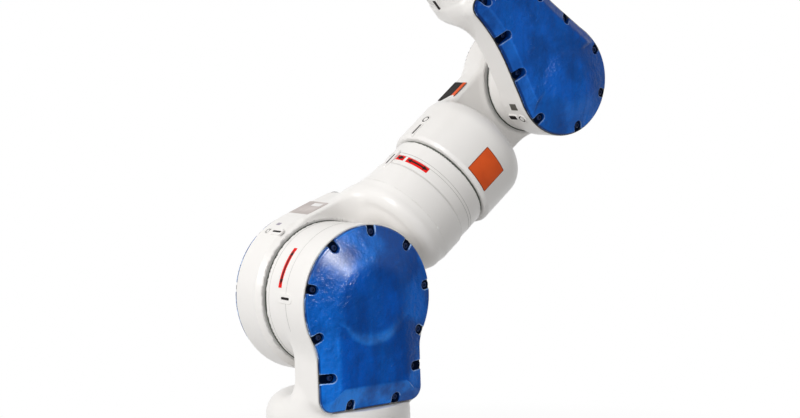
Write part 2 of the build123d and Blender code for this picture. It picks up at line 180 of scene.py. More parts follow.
def make_floor():
    """A wide pale floor at the mounting face."""
    mesh = bpy.data.meshes.new("floor")
    half = FLOOR_SIZE / 2
    corners = [(-half, -half, 0), (half, -half, 0), (half, half, 0), (-half, half, 0)]
    mesh.from_pydata(corners, [], [(0, 1, 2, 3)])
    floor = add_object("floor", mesh)
    paper = bpy.data.materials.new("floor_paper")
    paper.use_nodes = True
    tree = paper.node_tree
    lit = tree.nodes["Principled BSDF"]
    lit.inputs["Base Color"].default_value = FLOOR_GREY
    lit.inputs["Roughness"].default_value = 0.9
    place = tree.nodes.new("ShaderNodeTexCoord")
    far = tree.nodes.new("ShaderNodeVectorMath")
    far.operation = "LENGTH"
    wire(tree, place.outputs["Object"], far.inputs[0])
    fade = ramp_between(tree, far.outputs["Value"], *FLOOR_SHADED, FLOOR_WHITE, 1.0, "LINEAR")
    share = calc(tree, "MULTIPLY", seen_directly(tree), fade)
    white = tree.nodes.new("ShaderNodeEmission")
    mix_white(tree, share, lit, white, tree.nodes["Material Output"])
    mesh.materials.append(paper)


make_sky()
make_floor()
print("sky:", bpy.context.scene.world.name)


# %% Lamps
def soft_box(name, place, target, size, watts):
    """A lamp of a width and height that looks at a point."""
    lamp = bpy.data.lights.new(name, "AREA")
    lamp.shape = "RECTANGLE"
    lamp.size, lamp.size_y = size
    lamp.energy = watts
    thing = add_object(name, lamp)
    thing.location = place
    thing.rotation_euler = (Vector(target) - Vector(place)).to_track_quat("-Z", "Y").to_euler()
    return thing


soft_box("key_light", (-3.15, -0.75, 1.85), (0.1, 0, 0.5), (1.3, 1.3), 61)
soft_box("top_light", (0.2, 0.2, 3.4), (0.1, 0, 0.6), (1.8, 1.8), 10)
soft_box("front_light", (-0.6, -3.4, 0.15), (0.05, 0, 0.4), (1.2, 0.8), 10.5)
gloss_card = soft_box("gloss_card", (0.55, -3.05, 1.3), (0.0, 0, 0.41), (0.24, 0.24), 100)
gloss_card.visible_diffuse = False
bpy.context.scene.view_settings.view_transform = "Standard"
print("studio lamps:", [o.name for o in bpy.data.objects if o.type == "LIGHT"])

# %% [markdown]
# ## Shared surface effects
# Thick paint, plastic and metal all show the same few things at different strengths: a fine grain, a slow
# drift of tone, worn edges and settled dust, with painted shade in hollows and, on the covers, painted
# highlights on edges. Each effect is one node group with named sockets. A group gives only masks and heights.
# The shader itself stays in each material, so that its plain numbers can be exported. Wear, edge highlights,
# grime and painted shade need to know where a surface bends. Each casting and cover will carry that as an
# attribute named bend: above zero on outer edges, below zero in hollow corners.


# %% Node group tools
def start_group(name, inputs, outputs):
    """A shader node group with named float inputs and outputs."""
    group = bpy.data.node_groups.new(name, "ShaderNodeTree")
    for label, value in inputs.items():
        socket = group.interface.new_socket(label, in_out="INPUT", socket_type="NodeSocketFloat")
        socket.default_value = value
    for label in outputs:
        group.interface.new_socket(label, in_out="OUTPUT", socket_type="NodeSocketFloat")
    return group, group.nodes.new("NodeGroupInput"), group.nodes.new("NodeGroupOutput")


def bend_of(tree):
    """The bend that a piece carries as an attribute."""
    node = tree.nodes.new("ShaderNodeAttribute")
    node.attribute_name = "bend"
    return node.outputs["Fac"]


def facing_of(tree):
    """The three parts of the surface normal, in the piece's own coordinates."""
    place = tree.nodes.new("ShaderNodeTexCoord")
    parts = tree.nodes.new("ShaderNodeSeparateXYZ")
    wire(tree, place.outputs["Normal"], parts.inputs[0])
    return parts.outputs


def noise(tree, scale, detail=2.0, stretch=(1, 1, 1)):
    """Noise in the piece's own coordinates, so that it rides with the piece."""
    place = tree.nodes.new("ShaderNodeTexCoord")
    mapping = tree.nodes.new("ShaderNodeMapping")
    mapping.inputs["Scale"].default_value = stretch
    node = tree.nodes.new("ShaderNodeTexNoise")
    node.inputs["Detail"].default_value = detail
    feed(tree, node.inputs["Scale"], scale)
    wire(tree, place.outputs["Object"], mapping.inputs["Vector"])
    wire(tree, mapping.outputs[0], node.inputs["Vector"])
    return node.outputs["Fac"]


def use_group(tree, group, **values):
    """Place a group in a material with its own numbers."""
    node = tree.nodes.new("ShaderNodeGroup")
    node.node_tree = group
    for label, value in values.items():
        node.inputs[label.replace("_", " ").title()].default_value = value
    return node.outputs


# %% Surface grain: the fine skin of sprayed paint and moulded plastic
grain_group, given, result = start_group(
    "surface_grain", {"Scale": 500.0, "Drift Scale": 6.0}, ["Height", "Drift"]
)
wire(grain_group, noise(grain_group, given.outputs["Scale"], 3.0), result.inputs["Height"])
wire(grain_group, noise(grain_group, given.outputs["Drift Scale"], 4.0), result.inputs["Drift"])

# %% Edge wear and painted edge highlight: sharp outer edges in broken patches, worn paint on the castings and a painted highlight on the covers
WEAR_AND_HIGHLIGHT_SPREAD = 0.45
wear_and_highlight_group, given, result = start_group(
    "edge_wear_and_highlight", {"Edge": 0.3, "Amount": 0.5, "Patch Scale": 60.0}, ["Mask"]
)
limit = calc(wear_and_highlight_group, "ADD", given.outputs["Edge"], WEAR_AND_HIGHLIGHT_SPREAD)
sharp = ramp_between(wear_and_highlight_group, bend_of(wear_and_highlight_group), given.outputs["Edge"], limit)
patches = ramp_between(wear_and_highlight_group, noise(wear_and_highlight_group, given.outputs["Patch Scale"], 5.0), 0.38, 0.58)
marked_edges = calc(wear_and_highlight_group, "MULTIPLY", sharp, patches)
wire(wear_and_highlight_group, calc(wear_and_highlight_group, "MULTIPLY", marked_edges, given.outputs["Amount"]), result.inputs["Mask"])

# %% Dust and painted shade: a thin film of dust on what faces up, and grime and painted shade in hollow corners
GRIME_AND_SHADE_SPREAD = 0.5
dust_and_shade_group, given, result = start_group("settled_dust_and_hollow_shade", {"Film": 0.3, "Hollow": 0.1}, ["Film", "Grime And Shade"])
upward = ramp_between(dust_and_shade_group, facing_of(dust_and_shade_group)["Z"], 0.1, 0.95)
clouds = ramp_between(dust_and_shade_group, noise(dust_and_shade_group, 9.0, 6.0), 0.35, 0.7)
settled = calc(dust_and_shade_group, "MULTIPLY", upward, clouds)
wire(dust_and_shade_group, calc(dust_and_shade_group, "MULTIPLY", settled, given.outputs["Film"]), result.inputs["Film"])
# Darker in hollow corners, where bend is below zero: grime, and painted shade where less light reaches.
inward = calc(dust_and_shade_group, "MULTIPLY", bend_of(dust_and_shade_group), -1.0)
deep = calc(dust_and_shade_group, "ADD", given.outputs["Hollow"], GRIME_AND_SHADE_SPREAD)
hollow = ramp_between(dust_and_shade_group, inward, given.outputs["Hollow"], deep)
hollow_patches = ramp_between(dust_and_shade_group, noise(dust_and_shade_group, 25.0, 4.0), 0.3, 0.65)
wire(dust_and_shade_group, calc(dust_and_shade_group, "MULTIPLY", hollow, hollow_patches), result.inputs["Grime And Shade"])

# %% Wipe marks: long faint streaks left by cleaning
STREAK = (1.0, 1.0, 0.12)
streak_group, given, result = start_group("wipe_marks", {"Scale": 30.0, "Low": 0.45, "High": 0.75}, ["Mask"])
long_noise = noise(streak_group, given.outputs["Scale"], 5.0, STREAK)
streaks = ramp_between(streak_group, long_noise, given.outputs["Low"], given.outputs["High"])
wire(streak_group, streaks, result.inputs["Mask"])
print("node groups:", [group.name for group in bpy.data.node_groups])

# %% [markdown]
# ## Finishes
# Every finish starts from one Principled shader. The helpers below lay more colours over the first one, each
# through its own mask, and add a small bump. Each finish then says in a few lines what the surface shows.


# %% Finish tools
def start_finish(name, color, roughness, **plain):
    """A material with a Principled shader and plain numbers on its sockets."""
    finish = bpy.data.materials.new(name)
    finish.use_nodes = True
    shader = finish.node_tree.nodes["Principled BSDF"]
    shader.inputs["Base Color"].default_value = (*color, 1)
    shader.inputs["Roughness"].default_value = roughness
    for label, value in plain.items():
        shader.inputs[label.replace("_", " ").title().replace("Ior", "IOR")].default_value = value
    finish.diffuse_color = (*color, 1)
    return finish, finish.node_tree, shader


MIX_MASK = 0
MIX_UNDER = 6
MIX_OVER = 7
MIX_RESULT = 2


def tint(tree, base, mask, color):
    """Mix a colour over another by a mask."""
    node = tree.nodes.new("ShaderNodeMix")
    node.data_type = "RGBA"
    if isinstance(base, tuple):
        node.inputs[MIX_UNDER].default_value = (*base, 1)
    else:
        wire(tree, base, node.inputs[MIX_UNDER])
    node.inputs[MIX_OVER].default_value = (*color, 1)
    wire(tree, mask, node.inputs[MIX_MASK])
    return node.outputs[MIX_RESULT]


def lay_colors(tree, shader, base, *layers):
    """Lay colours over a base one by one, each through its mask, and give the shader the result."""
    tone = base
    for mask, color in layers:
        tone = tint(tree, tone, mask, color)
    wire(tree, tone, shader.inputs["Base Color"])


def raise_bump(tree, shader, height, strength, distance):
    """A small bump on the shader's normal."""
    bump = tree.nodes.new("ShaderNodeBump")
    bump.inputs["Strength"].default_value = strength
    bump.inputs["Distance"].default_value = distance
    wire(tree, height, bump.inputs["Height"])
    wire(tree, bump.outputs[0], shader.inputs["Normal"])


# %% White paint: two-part enamel over cast aluminium
WHITE = (0.85, 0.832, 0.81)
white_paint, tree, shader = start_finish("white_enamel", WHITE, 0.34, coat_weight=0.12, coat_roughness=0.14)
grain = use_group(tree, grain_group, scale=420.0, drift_scale=7.0)
dust_and_shade = use_group(tree, dust_and_shade_group, film=0.06, hollow=0.06)
wear_and_highlight = use_group(tree, wear_and_highlight_group, edge=0.45, amount=0.4, patch_scale=45.0)
lay_colors(
    tree,
    shader,
    WHITE,
    (ramp_between(tree, grain["Drift"], 0.35, 0.7, 0.0, 0.5), (0.81, 0.79, 0.765)),
    (dust_and_shade["Film"], (0.70, 0.67, 0.61)),
    # hollow corners darker: grime and painted shade
    (calc(tree, "MULTIPLY", dust_and_shade["Grime And Shade"], 0.45), (0.42, 0.40, 0.35)),
    (wear_and_highlight["Mask"], (0.62, 0.61, 0.58)),
)
wire(tree, ramp_between(tree, grain["Drift"], 0.3, 0.75, 0.28, 0.42), shader.inputs["Roughness"])
raise_bump(tree, shader, grain["Height"], 0.12, 0.0004)
print("finish:", white_paint.name)


# %% Blue covers: moulded plastic, dulled on its flats and glossier on its slopes, with painted light and shade
def darker(color, share):
    """A darker shade: a share of a colour."""
    return tuple(share * part for part in color)


def blue_moulding(name, flat, painted_slope_tone, painted_under_tone, gloss, edge):
    """Blue plastic, glossier on slopes, with light and shade painted by how each face leans, painted shade in
    hollows and on side walls, and painted highlights on edges and in specks.
    """
    finish, tree, shader = start_finish(name, flat, 0.28, specular_ior_level=0.05, coat_roughness=0.2)
    # The normal, in the cover's own coordinates, sets painted light and shade: leaning faces take the slope
    # tone, faces that look down take the under tone, and side walls take a dark painted shade.
    normal = facing_of(tree)
    facing = calc(tree, "ABSOLUTE", normal["Y"])
    lean = ramp_between(tree, facing, 0.94, 0.998, 0.5, 0.0)
    painted_wall_shade = ramp_between(tree, facing, 0.6, 0.93, 0.9, 0.0)
    pitch = ramp_between(tree, calc(tree, "ABSOLUTE", normal["Z"]), 0.04, 0.3)
    grain = use_group(tree, grain_group, scale=210.0, drift_scale=15.0)
    wipes = use_group(tree, streak_group, scale=34.0, low=0.4, high=0.75)["Mask"]
    runs = use_group(tree, streak_group, scale=75.0, low=0.5, high=0.68)["Mask"]
    dust_and_shade = use_group(tree, dust_and_shade_group, film=0.1, hollow=0.2)
    wear_and_highlight = use_group(tree, wear_and_highlight_group, edge=0.25, amount=edge, patch_scale=50.0)
    lay_colors(
        tree,
        shader,
        flat,
        # slope tone: painted light on the lower covers, painted shade on the upper ones
        (calc(tree, "ADD", lean, calc(tree, "MULTIPLY", pitch, 0.5)), painted_slope_tone),
        # under tone: painted light from below on faces that look down
        (ramp_between(tree, normal["Z"], -0.2, -0.06, 0.8, 0.0), painted_under_tone),
        (ramp_between(tree, grain["Drift"], 0.4, 0.62, 0.0, 0.9), darker(flat, 0.55)),
        (calc(tree, "MULTIPLY", runs, 0.3), darker(flat, 0.4)),
        (calc(tree, "MULTIPLY", wipes, 0.4), (0.004, 0.15, 0.65)),
        (dust_and_shade["Film"], (0.20, 0.32, 0.55)),
        # dark side walls and notch walls: painted shade
        (painted_wall_shade, (0.0, 0.022, 0.14)),
        # sparse bright specks: painted glints
        (ramp_between(tree, noise(tree, 270.0), 0.76, 0.81, 0.0, 0.4), (0.25, 0.45, 0.85)),
        # sharp edges lighter blue: a painted edge highlight
        (wear_and_highlight["Mask"], (0.36, 0.58, 0.96)),
        # hollows near black navy: painted shade, partly grime
        (dust_and_shade["Grime And Shade"], (0.0, 0.012, 0.06)),
    )
    wire(tree, ramp_between(tree, pitch, 0.0, 1.0, 0.03, gloss), shader.inputs["Coat Weight"])
    wire(tree, ramp_between(tree, wipes, 0.0, 1.0, 0.1, 0.2), shader.inputs["Roughness"])
    ripple = calc(tree, "ADD", noise(tree, 95.0, 4.0), calc(tree, "MULTIPLY", grain["Height"], 0.4))
    raise_bump(tree, shader, ripple, 1.0, 0.0022)
    return finish


# Two copies of the blue paint their light differently: the lower covers have lighter slopes and undersides,
# and the upper covers have lighter flats, dark painted shade on their slopes and lighter undersides.
blue_low = blue_moulding(
    "blue_moulding", (0.0, 0.106, 0.58), (0.012, 0.27, 1.0), (0.02, 0.28, 1.0), gloss=0.36, edge=0.9
)
blue_high = blue_moulding(
    "blue_moulding_upper", (0.006, 0.135, 0.66), (0.0, 0.07, 0.42), (0.02, 0.2, 0.8), gloss=0.1, edge=0.4
)
cover_finish = {"elbow": blue_high, "upper_arm": blue_high}
print("finishes:", [m.name for m in (blue_low, blue_high)])

# %% [markdown]
# ## Castings as distance fields
# A casting is a union of simple turned and extruded forms that melt into each other with wide fillets.
# Boolean tools would leave sharp creases there. A distance field says for any point how far it lies from the
# surface, and a smooth minimum of two fields rounds the corner between them by a chosen amount. We sample the
# field on a grid, lay one vertex in each cell that the surface crosses (surface nets), push the vertices onto
# the true surface and take the normals from the field, so highlights run clean. Sizes are in millimetres, as
# on a drawing.


# %% Distance tools
def joined(first, second, fillet):
    """Union of two fields with a fillet between them."""
    share = np.maximum(fillet - np.abs(first - second), 0) / fillet
    return np.minimum(first, second) - share * share * fillet / 4


def without(first, second, fillet):
    """The first field with the second cut out of it."""
    return -joined(-first, second, fillet)


def within(first, second, radius):
    """Where both fields are inside, with the edge between them rounded."""
    first = first + radius
    second = second + radius
    corner = np.hypot(np.maximum(first, 0), np.maximum(second, 0))
    return np.minimum(np.maximum(first, second), 0) + corner - radius


def span(value, start, end):
    """Distance from a stretch of a line."""
    return np.abs(value - (start + end) / 2) - (end - start) / 2


def extruded(outline, along_here, start, end, edge_start, edge_end):
    """An outline drawn out along a line, with its own rounding at each end."""
    edge = np.where(along_here < (start + end) / 2, edge_start, edge_end)
    return within(outline, span(along_here, start, end), edge)


def turned(radius_here, along_here, radius, start, end, edge_start, edge_end):
    """A turned form: a plain round with its own rounding at each end."""
    return extruded(radius_here - radius, along_here, start, end, edge_start, edge_end)


def chamfer(radius_here, from_end, low_radius, rise, run):
    """A cone that trims a turned form near its end."""
    return (radius_here - low_radius - from_end * rise / run) * run / math.hypot(rise, run)


def ease(value, start, end):
    """Smooth step from 0 at start to 1 at end."""
    share = np.clip((value - start) / (end - start), 0, 1)
    return share * share * (3 - 2 * share)


# %% The skin of a field
def net_of(values, low, step):
    """Surface nets: vertices and quads where the sampled field changes sign."""
    inside = values < 0
    cells = tuple(n - 1 for n in values.shape)
    corners = [(i, j, k) for i in (0, 1) for j in (0, 1) for k in (0, 1)]

    def at(array, corner):
        return array[tuple(slice(c, c + n) for c, n in zip(corner, cells))]

    count = sum(at(inside, corner).astype(np.int8) for corner in corners)
    where = np.argwhere((count > 0) & (count < 8))
    total = np.zeros((len(where), 3))
    hits = np.zeros(len(where))
    for a in corners:
        for axis in range(3):
            if a[axis]:
                continue
            b = tuple(c + (n == axis) for n, c in enumerate(a))
            va = values[tuple((where + a).T)]
            vb = values[tuple((where + b).T)]
            crossed = (va < 0) != (vb < 0)
            share = np.where(crossed, va / np.where(crossed, va - vb, 1), 0)
            point = np.array(a, float) + share[:, None] * (np.array(b) - np.array(a))
            total += point * crossed[:, None]
            hits += crossed
    points = np.array(low) + (where + total / hits[:, None]) * step
    number = np.full(cells, -1)
    number[tuple(where.T)] = np.arange(len(where))
    faces = []
    for axis in range(3):
        first, second = (axis + 1) % 3, (axis + 2) % 3
        here = [slice(1, n) for n in cells]
        there = list(here)
        here[axis] = slice(0, cells[axis])
        there[axis] = slice(1, cells[axis] + 1)
        change = inside[tuple(here)].astype(np.int8) - inside[tuple(there)].astype(np.int8)
        edges = np.argwhere(change != 0)
        shift = np.ones(3, int)
        shift[axis] = 0
        base = edges + shift
        ring = []
        for back_first, back_second in ((1, 1), (0, 1), (0, 0), (1, 0)):
            cell = base.copy()
            cell[:, first] -= back_first
            cell[:, second] -= back_second
            ring.append(number[tuple(cell.T)])
        quads = np.stack(ring, axis=1)
        flip = change[tuple(edges.T)] < 0
        quads[flip] = quads[flip][:, ::-1]
        faces.append(quads)
    return points, np.concatenate(faces)


def slope_of(field, points, step=0.05):
    """Numeric gradient of a field at points."""
    gradient = np.zeros_like(points)
    for axis in range(3):
        offset = np.zeros(3)
        offset[axis] = step
        ahead = field(*(points + offset).T)
        behind = field(*(points - offset).T)
        gradient[:, axis] = (ahead - behind) / (2 * step)
    return gradient


class ArmFrame:
    """Millimetre axes of one arm: u across it, v along the bending axis, w along it from the pivot."""

    def __init__(self, pivot, lean):
        angle = math.radians(lean)
        self.pivot = np.array(pivot, float)
        self.axes = np.array(
            [[math.cos(angle), 0, -math.sin(angle)], [0, 1, 0], [math.sin(angle), 0, math.cos(angle)]]
        )

    def world(self, points):
        """Points in metres in the shared frame."""
        return (self.pivot + np.asarray(points, float) @ self.axes) / 1000

    def turn(self, vectors):
        """Directions in the shared frame."""
        return np.asarray(vectors, float) @ self.axes


BEND_REACH = 1.2
PUSHES = 4
PUSH_LIMIT = 0.6
LEAST_SLOPE = 0.2


def skin(name, field, low, high, step, arm, finish, body):
    """A mesh piece on the surface of a field, with normals and bend from the field."""
    axes = [np.arange(a - 2 * step, b + 3 * step, step) for a, b in zip(low, high)]
    grid = np.meshgrid(*axes, indexing="ij")
    points, quads = net_of(field(*grid), [axis[0] for axis in axes], step)
    for _ in range(PUSHES):
        gradient = slope_of(field, points)
        size = np.maximum((gradient**2).sum(axis=1), LEAST_SLOPE)
        move = gradient * (field(*points.T) / size)[:, None]
        points = points - np.clip(move, -PUSH_LIMIT * step, PUSH_LIMIT * step)
    gradient = slope_of(field, points)
    normals = arm.turn(gradient / np.linalg.norm(gradient, axis=1)[:, None])
    around = [field(*(points + side * offset).T) for offset in np.eye(3) * BEND_REACH for side in (-1, 1)]
    bend = (sum(around) - len(around) * field(*points.T)) / BEND_REACH
    mesh = bpy.data.meshes.new(name)
    mesh.from_pydata(arm.world(points).tolist(), [], quads.tolist())
    mesh.polygons.foreach_set("use_smooth", np.ones(len(quads), bool))
    mesh.normals_split_custom_set_from_vertices(normals.tolist())
    mesh.attributes.new("bend", "FLOAT", "POINT").data.foreach_set("value", bend.astype(np.float32))
    mesh.materials.append(finish)
    piece = add_object(name, mesh)
    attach(piece, body)
    print(name, "quads:", len(quads))
    return piece


# %% [markdown]
# ## Where the arms are, and the outlines of their covers
# Each arm leans in the plane of its bending joints. From one pivot, the next lies an arm's length along.
# A cover has a keyhole outline: a circle about the bending axis, and a neck that runs along the arm with
# straight or waisted sides. The casting behind it has the same outline, so one class serves both.

# %% Arms
LOWER_LEAN = 52.67
LOWER_LENGTH = 490
UPPER_LEAN = -40
UPPER_LENGTH = 420
HAND_LEAN = -90


def leaning(lean):
    """The direction of an arm that leans by an angle."""
    return np.array((math.sin(math.radians(lean)), 0, math.cos(math.radians(lean))))


SHOULDER = np.array((0, 0, 410.0))
ELBOW = SHOULDER + LOWER_LENGTH * leaning(LOWER_LEAN)
WRIST = ELBOW + UPPER_LENGTH * leaning(UPPER_LEAN)
arms = {
    "base": ArmFrame((0, 0, 0), 0),
    "turret": ArmFrame(SHOULDER, 0),
    "lower_arm": ArmFrame(SHOULDER, LOWER_LEAN),
    "elbow": ArmFrame(ELBOW, LOWER_LEAN),
    "upper_arm": ArmFrame(ELBOW, UPPER_LEAN),
    "wrist": ArmFrame(WRIST, UPPER_LEAN),
    "hand": ArmFrame(WRIST, HAND_LEAN),
}
print("elbow at", np.round(ELBOW), "wrist at", np.round(WRIST))


# %% Keyhole outlines
WAIST_SOFT = 16
LEAST_WAIST = 0.05


class Keyhole:
    """A circle with a neck: widths are half widths, and reaches run along the neck from the axis."""

    def __init__(self, radius, root_width, waist, tip, corner, toward, crease):
        self.radius = radius
        self.root_width = root_width
        self.waist, self.waist_width = waist
        self.tip, self.tip_width = tip
        self.corner = corner
        self.toward = toward
        self.crease = crease
        self.root = math.sqrt(radius**2 - root_width**2)
        self.first_slope = (self.waist_width - root_width) / (self.waist - self.root)
        self.second_slope = (self.tip_width - self.waist_width) / (self.tip - self.waist)

    def half_width(self, reach):
        """Half width of the neck at a reach: a soft waist where the sides bend in."""
        first = self.root_width + (reach - self.root) * self.first_slope
        second = self.waist_width + (reach - self.waist) * self.second_slope
        if self.second_slope > self.first_slope + LEAST_WAIST:
            first = -joined(-first, -second, WAIST_SOFT)
        else:
            first = np.minimum(first, second)
        return np.minimum(first, self.root_width)

    def neck(self, u, w):
        """Field of the neck alone, in the plane."""
        reach = w * self.toward
        side = (np.abs(u) - self.half_width(reach)) * math.cos(math.atan(self.second_slope))
        return np.maximum(within(side, reach - self.tip, self.corner), -reach)

    def field(self, u, w, grow=0.0):
        """Field of the whole outline, grown or shrunk evenly."""
        return joined(np.hypot(u, w) - self.radius, self.neck(u, w), self.crease) - grow


keyholes = {
    "turret": Keyhole(111, 91, (95, 91), (157, 91), 22, -1, 10),
    "lower_arm": Keyhole(118, 109, (100, 91), (146, 74.5), 22, 1, 2),
    "elbow": Keyhole(88, 54, (85, 54), (124, 54), 18, -1, 12),
    "upper_arm": Keyhole(86.5, 84, (135, 55.5), (204, 62), 20, 1, 2),
    "wrist": Keyhole(62, 39, (58, 39), (88, 39), 14, -1, 9),
    "hand": Keyhole(64, 60, (66, 47), (99, 38), 14, 1, 2),
}
print("neck of the upper arm at 120 mm:", round(float(keyholes["upper_arm"].half_width(120.0)), 1))

# %% [markdown]
# ## The castings
# Each casting is a cup about its turning axis, a drum about its bending axis and a flat upright between them.
# The fillet is wide on the inner side, where two castings face each other and the founder wants a strong
# root, and tight at the cover's seat, which is machined. So the fillet's size changes across the casting.
# A pocket clears the seat for the cover where the cup would stand above it.

# %% Parts that the castings share
SEAT_EDGE = 1.5
STEP_FILLET = 2
seats = {"turret": -84, "lower_arm": 84, "elbow": 68, "upper_arm": -68, "wrist": -50.5, "hand": 50.5}


def from_axes(u, v, w):
    """Distances from the bending axis and from the turning axis."""
    return np.hypot(u, w), np.hypot(u, v)


def near_drum(name, around, v, band_end, radius, end, edge):
    """A band as wide as the cover, and a narrower drum that runs on behind it."""
    band = turned(around, v, keyholes[name].radius, seats[name], band_end, SEAT_EDGE, edge)
    drum = turned(around, v, radius, seats[name], end, SEAT_EDGE, edge)
    return joined(band, drum, STEP_FILLET)


def far_drum(name, around, v, start):
    """A drum as wide as the cover, with a chamfer at its inner end."""
    radius = keyholes[name].radius
    drum = turned(around, v, radius, start, seats[name], 0.5, SEAT_EDGE)
    return np.maximum(drum, chamfer(around, v - start, radius - 7, 7, 9))


def lower_cup(beside, w, radius, end, top, top_edge, lip, lip_run):
    """A cup below its axis, with a chamfered lip at the end and a round top."""
    cup = turned(beside, w, radius, end, top, 1, top_edge)
    return np.maximum(cup, chamfer(beside, w - end, radius - lip, lip, lip_run))


def clear_seat(field, name, u, v, w):
    """Cut away what would stand in front of a cover's seat."""
    seat = seats[name]
    beyond = seat - v if seat > 0 else v - seat
    pocket = np.maximum(keyholes[name].field(u, w), beyond)
    return without(field, pocket, SEAT_EDGE)


# %% Castings on the near side
def turret_field(u, v, w):
    """A drum that tapers a little, on an upright and a wide cup."""
    around, beside = from_axes(u, v, w)
    key, seat = keyholes["turret"], seats["turret"]
    drum = turned(around, v, key.radius, seat, 19.5, SEAT_EDGE, 2)
    drum = np.maximum(drum, chamfer(around, v - seat, key.radius, -3.8, 103.5))
    upright = extruded(key.neck(u, w), v, seat, -20.5, SEAT_EDGE, 9)
    cup = lower_cup(beside, w, 106.5, -247.5, -140, 33, 3.5, 6)
    whole = joined(joined(drum, upright, 14), cup, 14 + 22 * ease(v, -70, -30))
    return clear_seat(whole, "turret", u, v, w)


def upper_arm_field(u, v, w):
    """A stepped drum, a waisted upright and a stepped cup above."""
    around, beside = from_axes(u, v, w)
    key, seat = keyholes["upper_arm"], seats["upper_arm"]
    drum = near_drum("upper_arm", around, v, -19, 81, 13.5, 2)
    upright = extruded(key.neck(u, w), v, seat, -19, SEAT_EDGE, 7)
    collar = turned(beside, w, 65.5, 155, 203, 35, 2)
    cup = joined(collar, turned(beside, w, 64, 160, 231.5, 20, 1.5), STEP_FILLET)
    whole = joined(joined(drum, upright, 4), cup, 8 + 26 * ease(v, -55, -20))
    return without(whole, v - seat, 3)


def wrist_field(u, v, w):
    """A stepped drum on a post and a cup."""
    around, beside = from_axes(u, v, w)
    drum = near_drum("wrist", around, v, -15, 58, 9.5, 1.5)
    post = extruded(within(np.abs(u) - 52, beside - 65, 5), v, seats["wrist"], -12, SEAT_EDGE, 6)
    post = np.maximum(post, span(w, -106, 0))
    cup = lower_cup(beside, w, 65.5, -183.5, -84, 30, 3, 6)
    whole = joined(joined(drum, post, 10), cup, 8 + 14 * ease(v, -40, -15))
    return clear_seat(whole, "wrist", u, v, w)


# %% Castings on the far side
def lower_arm_field(u, v, w):
    """A chamfered drum, an upright and a stepped cup above, with room for the turret's drum."""
    around, beside = from_axes(u, v, w)
    key, seat = keyholes["lower_arm"], seats["lower_arm"]
    drum = far_drum("lower_arm", around, v, 24.5)
    upright = extruded(key.neck(u, w), v, 24.8, seat, 3, SEAT_EDGE)
    collar = turned(beside, w, 83, 124, 200, 45, 2)
    cup = joined(collar, turned(beside, w, 81, 130, 249.5, 20, 1.5), STEP_FILLET)
    whole = joined(joined(drum, upright, 4), cup, 10 + 42 * (1 - ease(v, 35, 74)))
    room = np.maximum(around - 110, v - 23)
    return without(without(whole, room, 1.5), seat - v, 3)


def elbow_field(u, v, w):
    """A chamfered drum on a post and a cup, with room for the upper arm's drum."""
    around, beside = from_axes(u, v, w)
    drum = far_drum("elbow", around, v, 18.5)
    post = extruded(within(np.abs(u) - 70, beside - 88, 6), v, 18.5, seats["elbow"], 8, SEAT_EDGE)
    post = np.maximum(post, span(w, -160, 0))
    cup = lower_cup(beside, w, 88.5, -237.8, -136, 34, 3.5, 5)
    whole = joined(joined(drum, post, 14), cup, 10 + 16 * (1 - ease(v, 20, 50)))
    room = within(around - 85.5, v - 17.5, 4)
    return clear_seat(without(whole, room, 4), "elbow", u, v, w)


def hand_field(u, v, w):
    """A chamfered drum, an upright and a stepped cup above."""
    around, beside = from_axes(u, v, w)
    drum = far_drum("hand", around, v, 14.5)
    upright = extruded(keyholes["hand"].neck(u, w), v, 23.5, seats["hand"], 6, SEAT_EDGE)
    collar = turned(beside, w, 52, 82, 133, 25, 1.5)
    cup = joined(collar, turned(beside, w, 50.5, 90, 147.5, 15, 1), STEP_FILLET)
    whole = joined(joined(drum, upright, 4), cup, 6 + 20 * (1 - ease(v, 22, 45)))
    return clear_seat(whole, "hand", u, v, w)


# %% Room for the fold: the neck of the upper arm is scooped where it meets the elbow at both ends of its bend
ELBOW_FOLD = math.radians(130)
FOLD_ROOM = 2


def folding_upper_arm_field(u, v, w):
    """The upper arm without the room that the elbow takes up when the arm is folded."""
    whole = upper_arm_field(u, v, w)
    for angle in (-ELBOW_FOLD, ELBOW_FOLD):
        across = u * math.cos(angle) + w * math.sin(angle)
        along = w * math.cos(angle) - u * math.sin(angle)
        whole = without(whole, elbow_field(across, v, along) - FOLD_ROOM, 3)
    return whole


# %% The base casting: a square foot, a flared column and a box for the connectors at the back
FOOT_HALF = 145
FOOT_CORNER = 42
BOLT_REACH = 120
PAD_TOP = 27
BOX_BACK = -140


def base_field(u, v, w):
    """The foot with its four bolt pads, the column and the box."""
    beside = np.hypot(u, v)
    bolt = np.hypot(np.abs(u) - BOLT_REACH, np.abs(v) - BOLT_REACH)
    square = within(np.abs(u) - FOOT_HALF, np.abs(v) - FOOT_HALF, FOOT_CORNER)
    foot = within(square, span(w, 0, 24), 2)
    flare = np.maximum(chamfer(beside, 64 - w, 112, 22, 40), span(w, 18, 70))
    column = turned(beside, w, 112, 0, 158, 1, 4)
    box = within(within(np.abs(v) - 62, span(u, BOX_BACK, 0), 7), span(w, 0, 130), 7)
    pads = turned(bolt, w, 19, 0, PAD_TOP, 1, 1.5)
    whole = joined(joined(joined(foot, flare, 10), column, 14), pads, 4)
    limit = np.maximum(square, -w)
    return np.maximum(without(joined(whole, box, 16), bolt - 7, 1), limit)


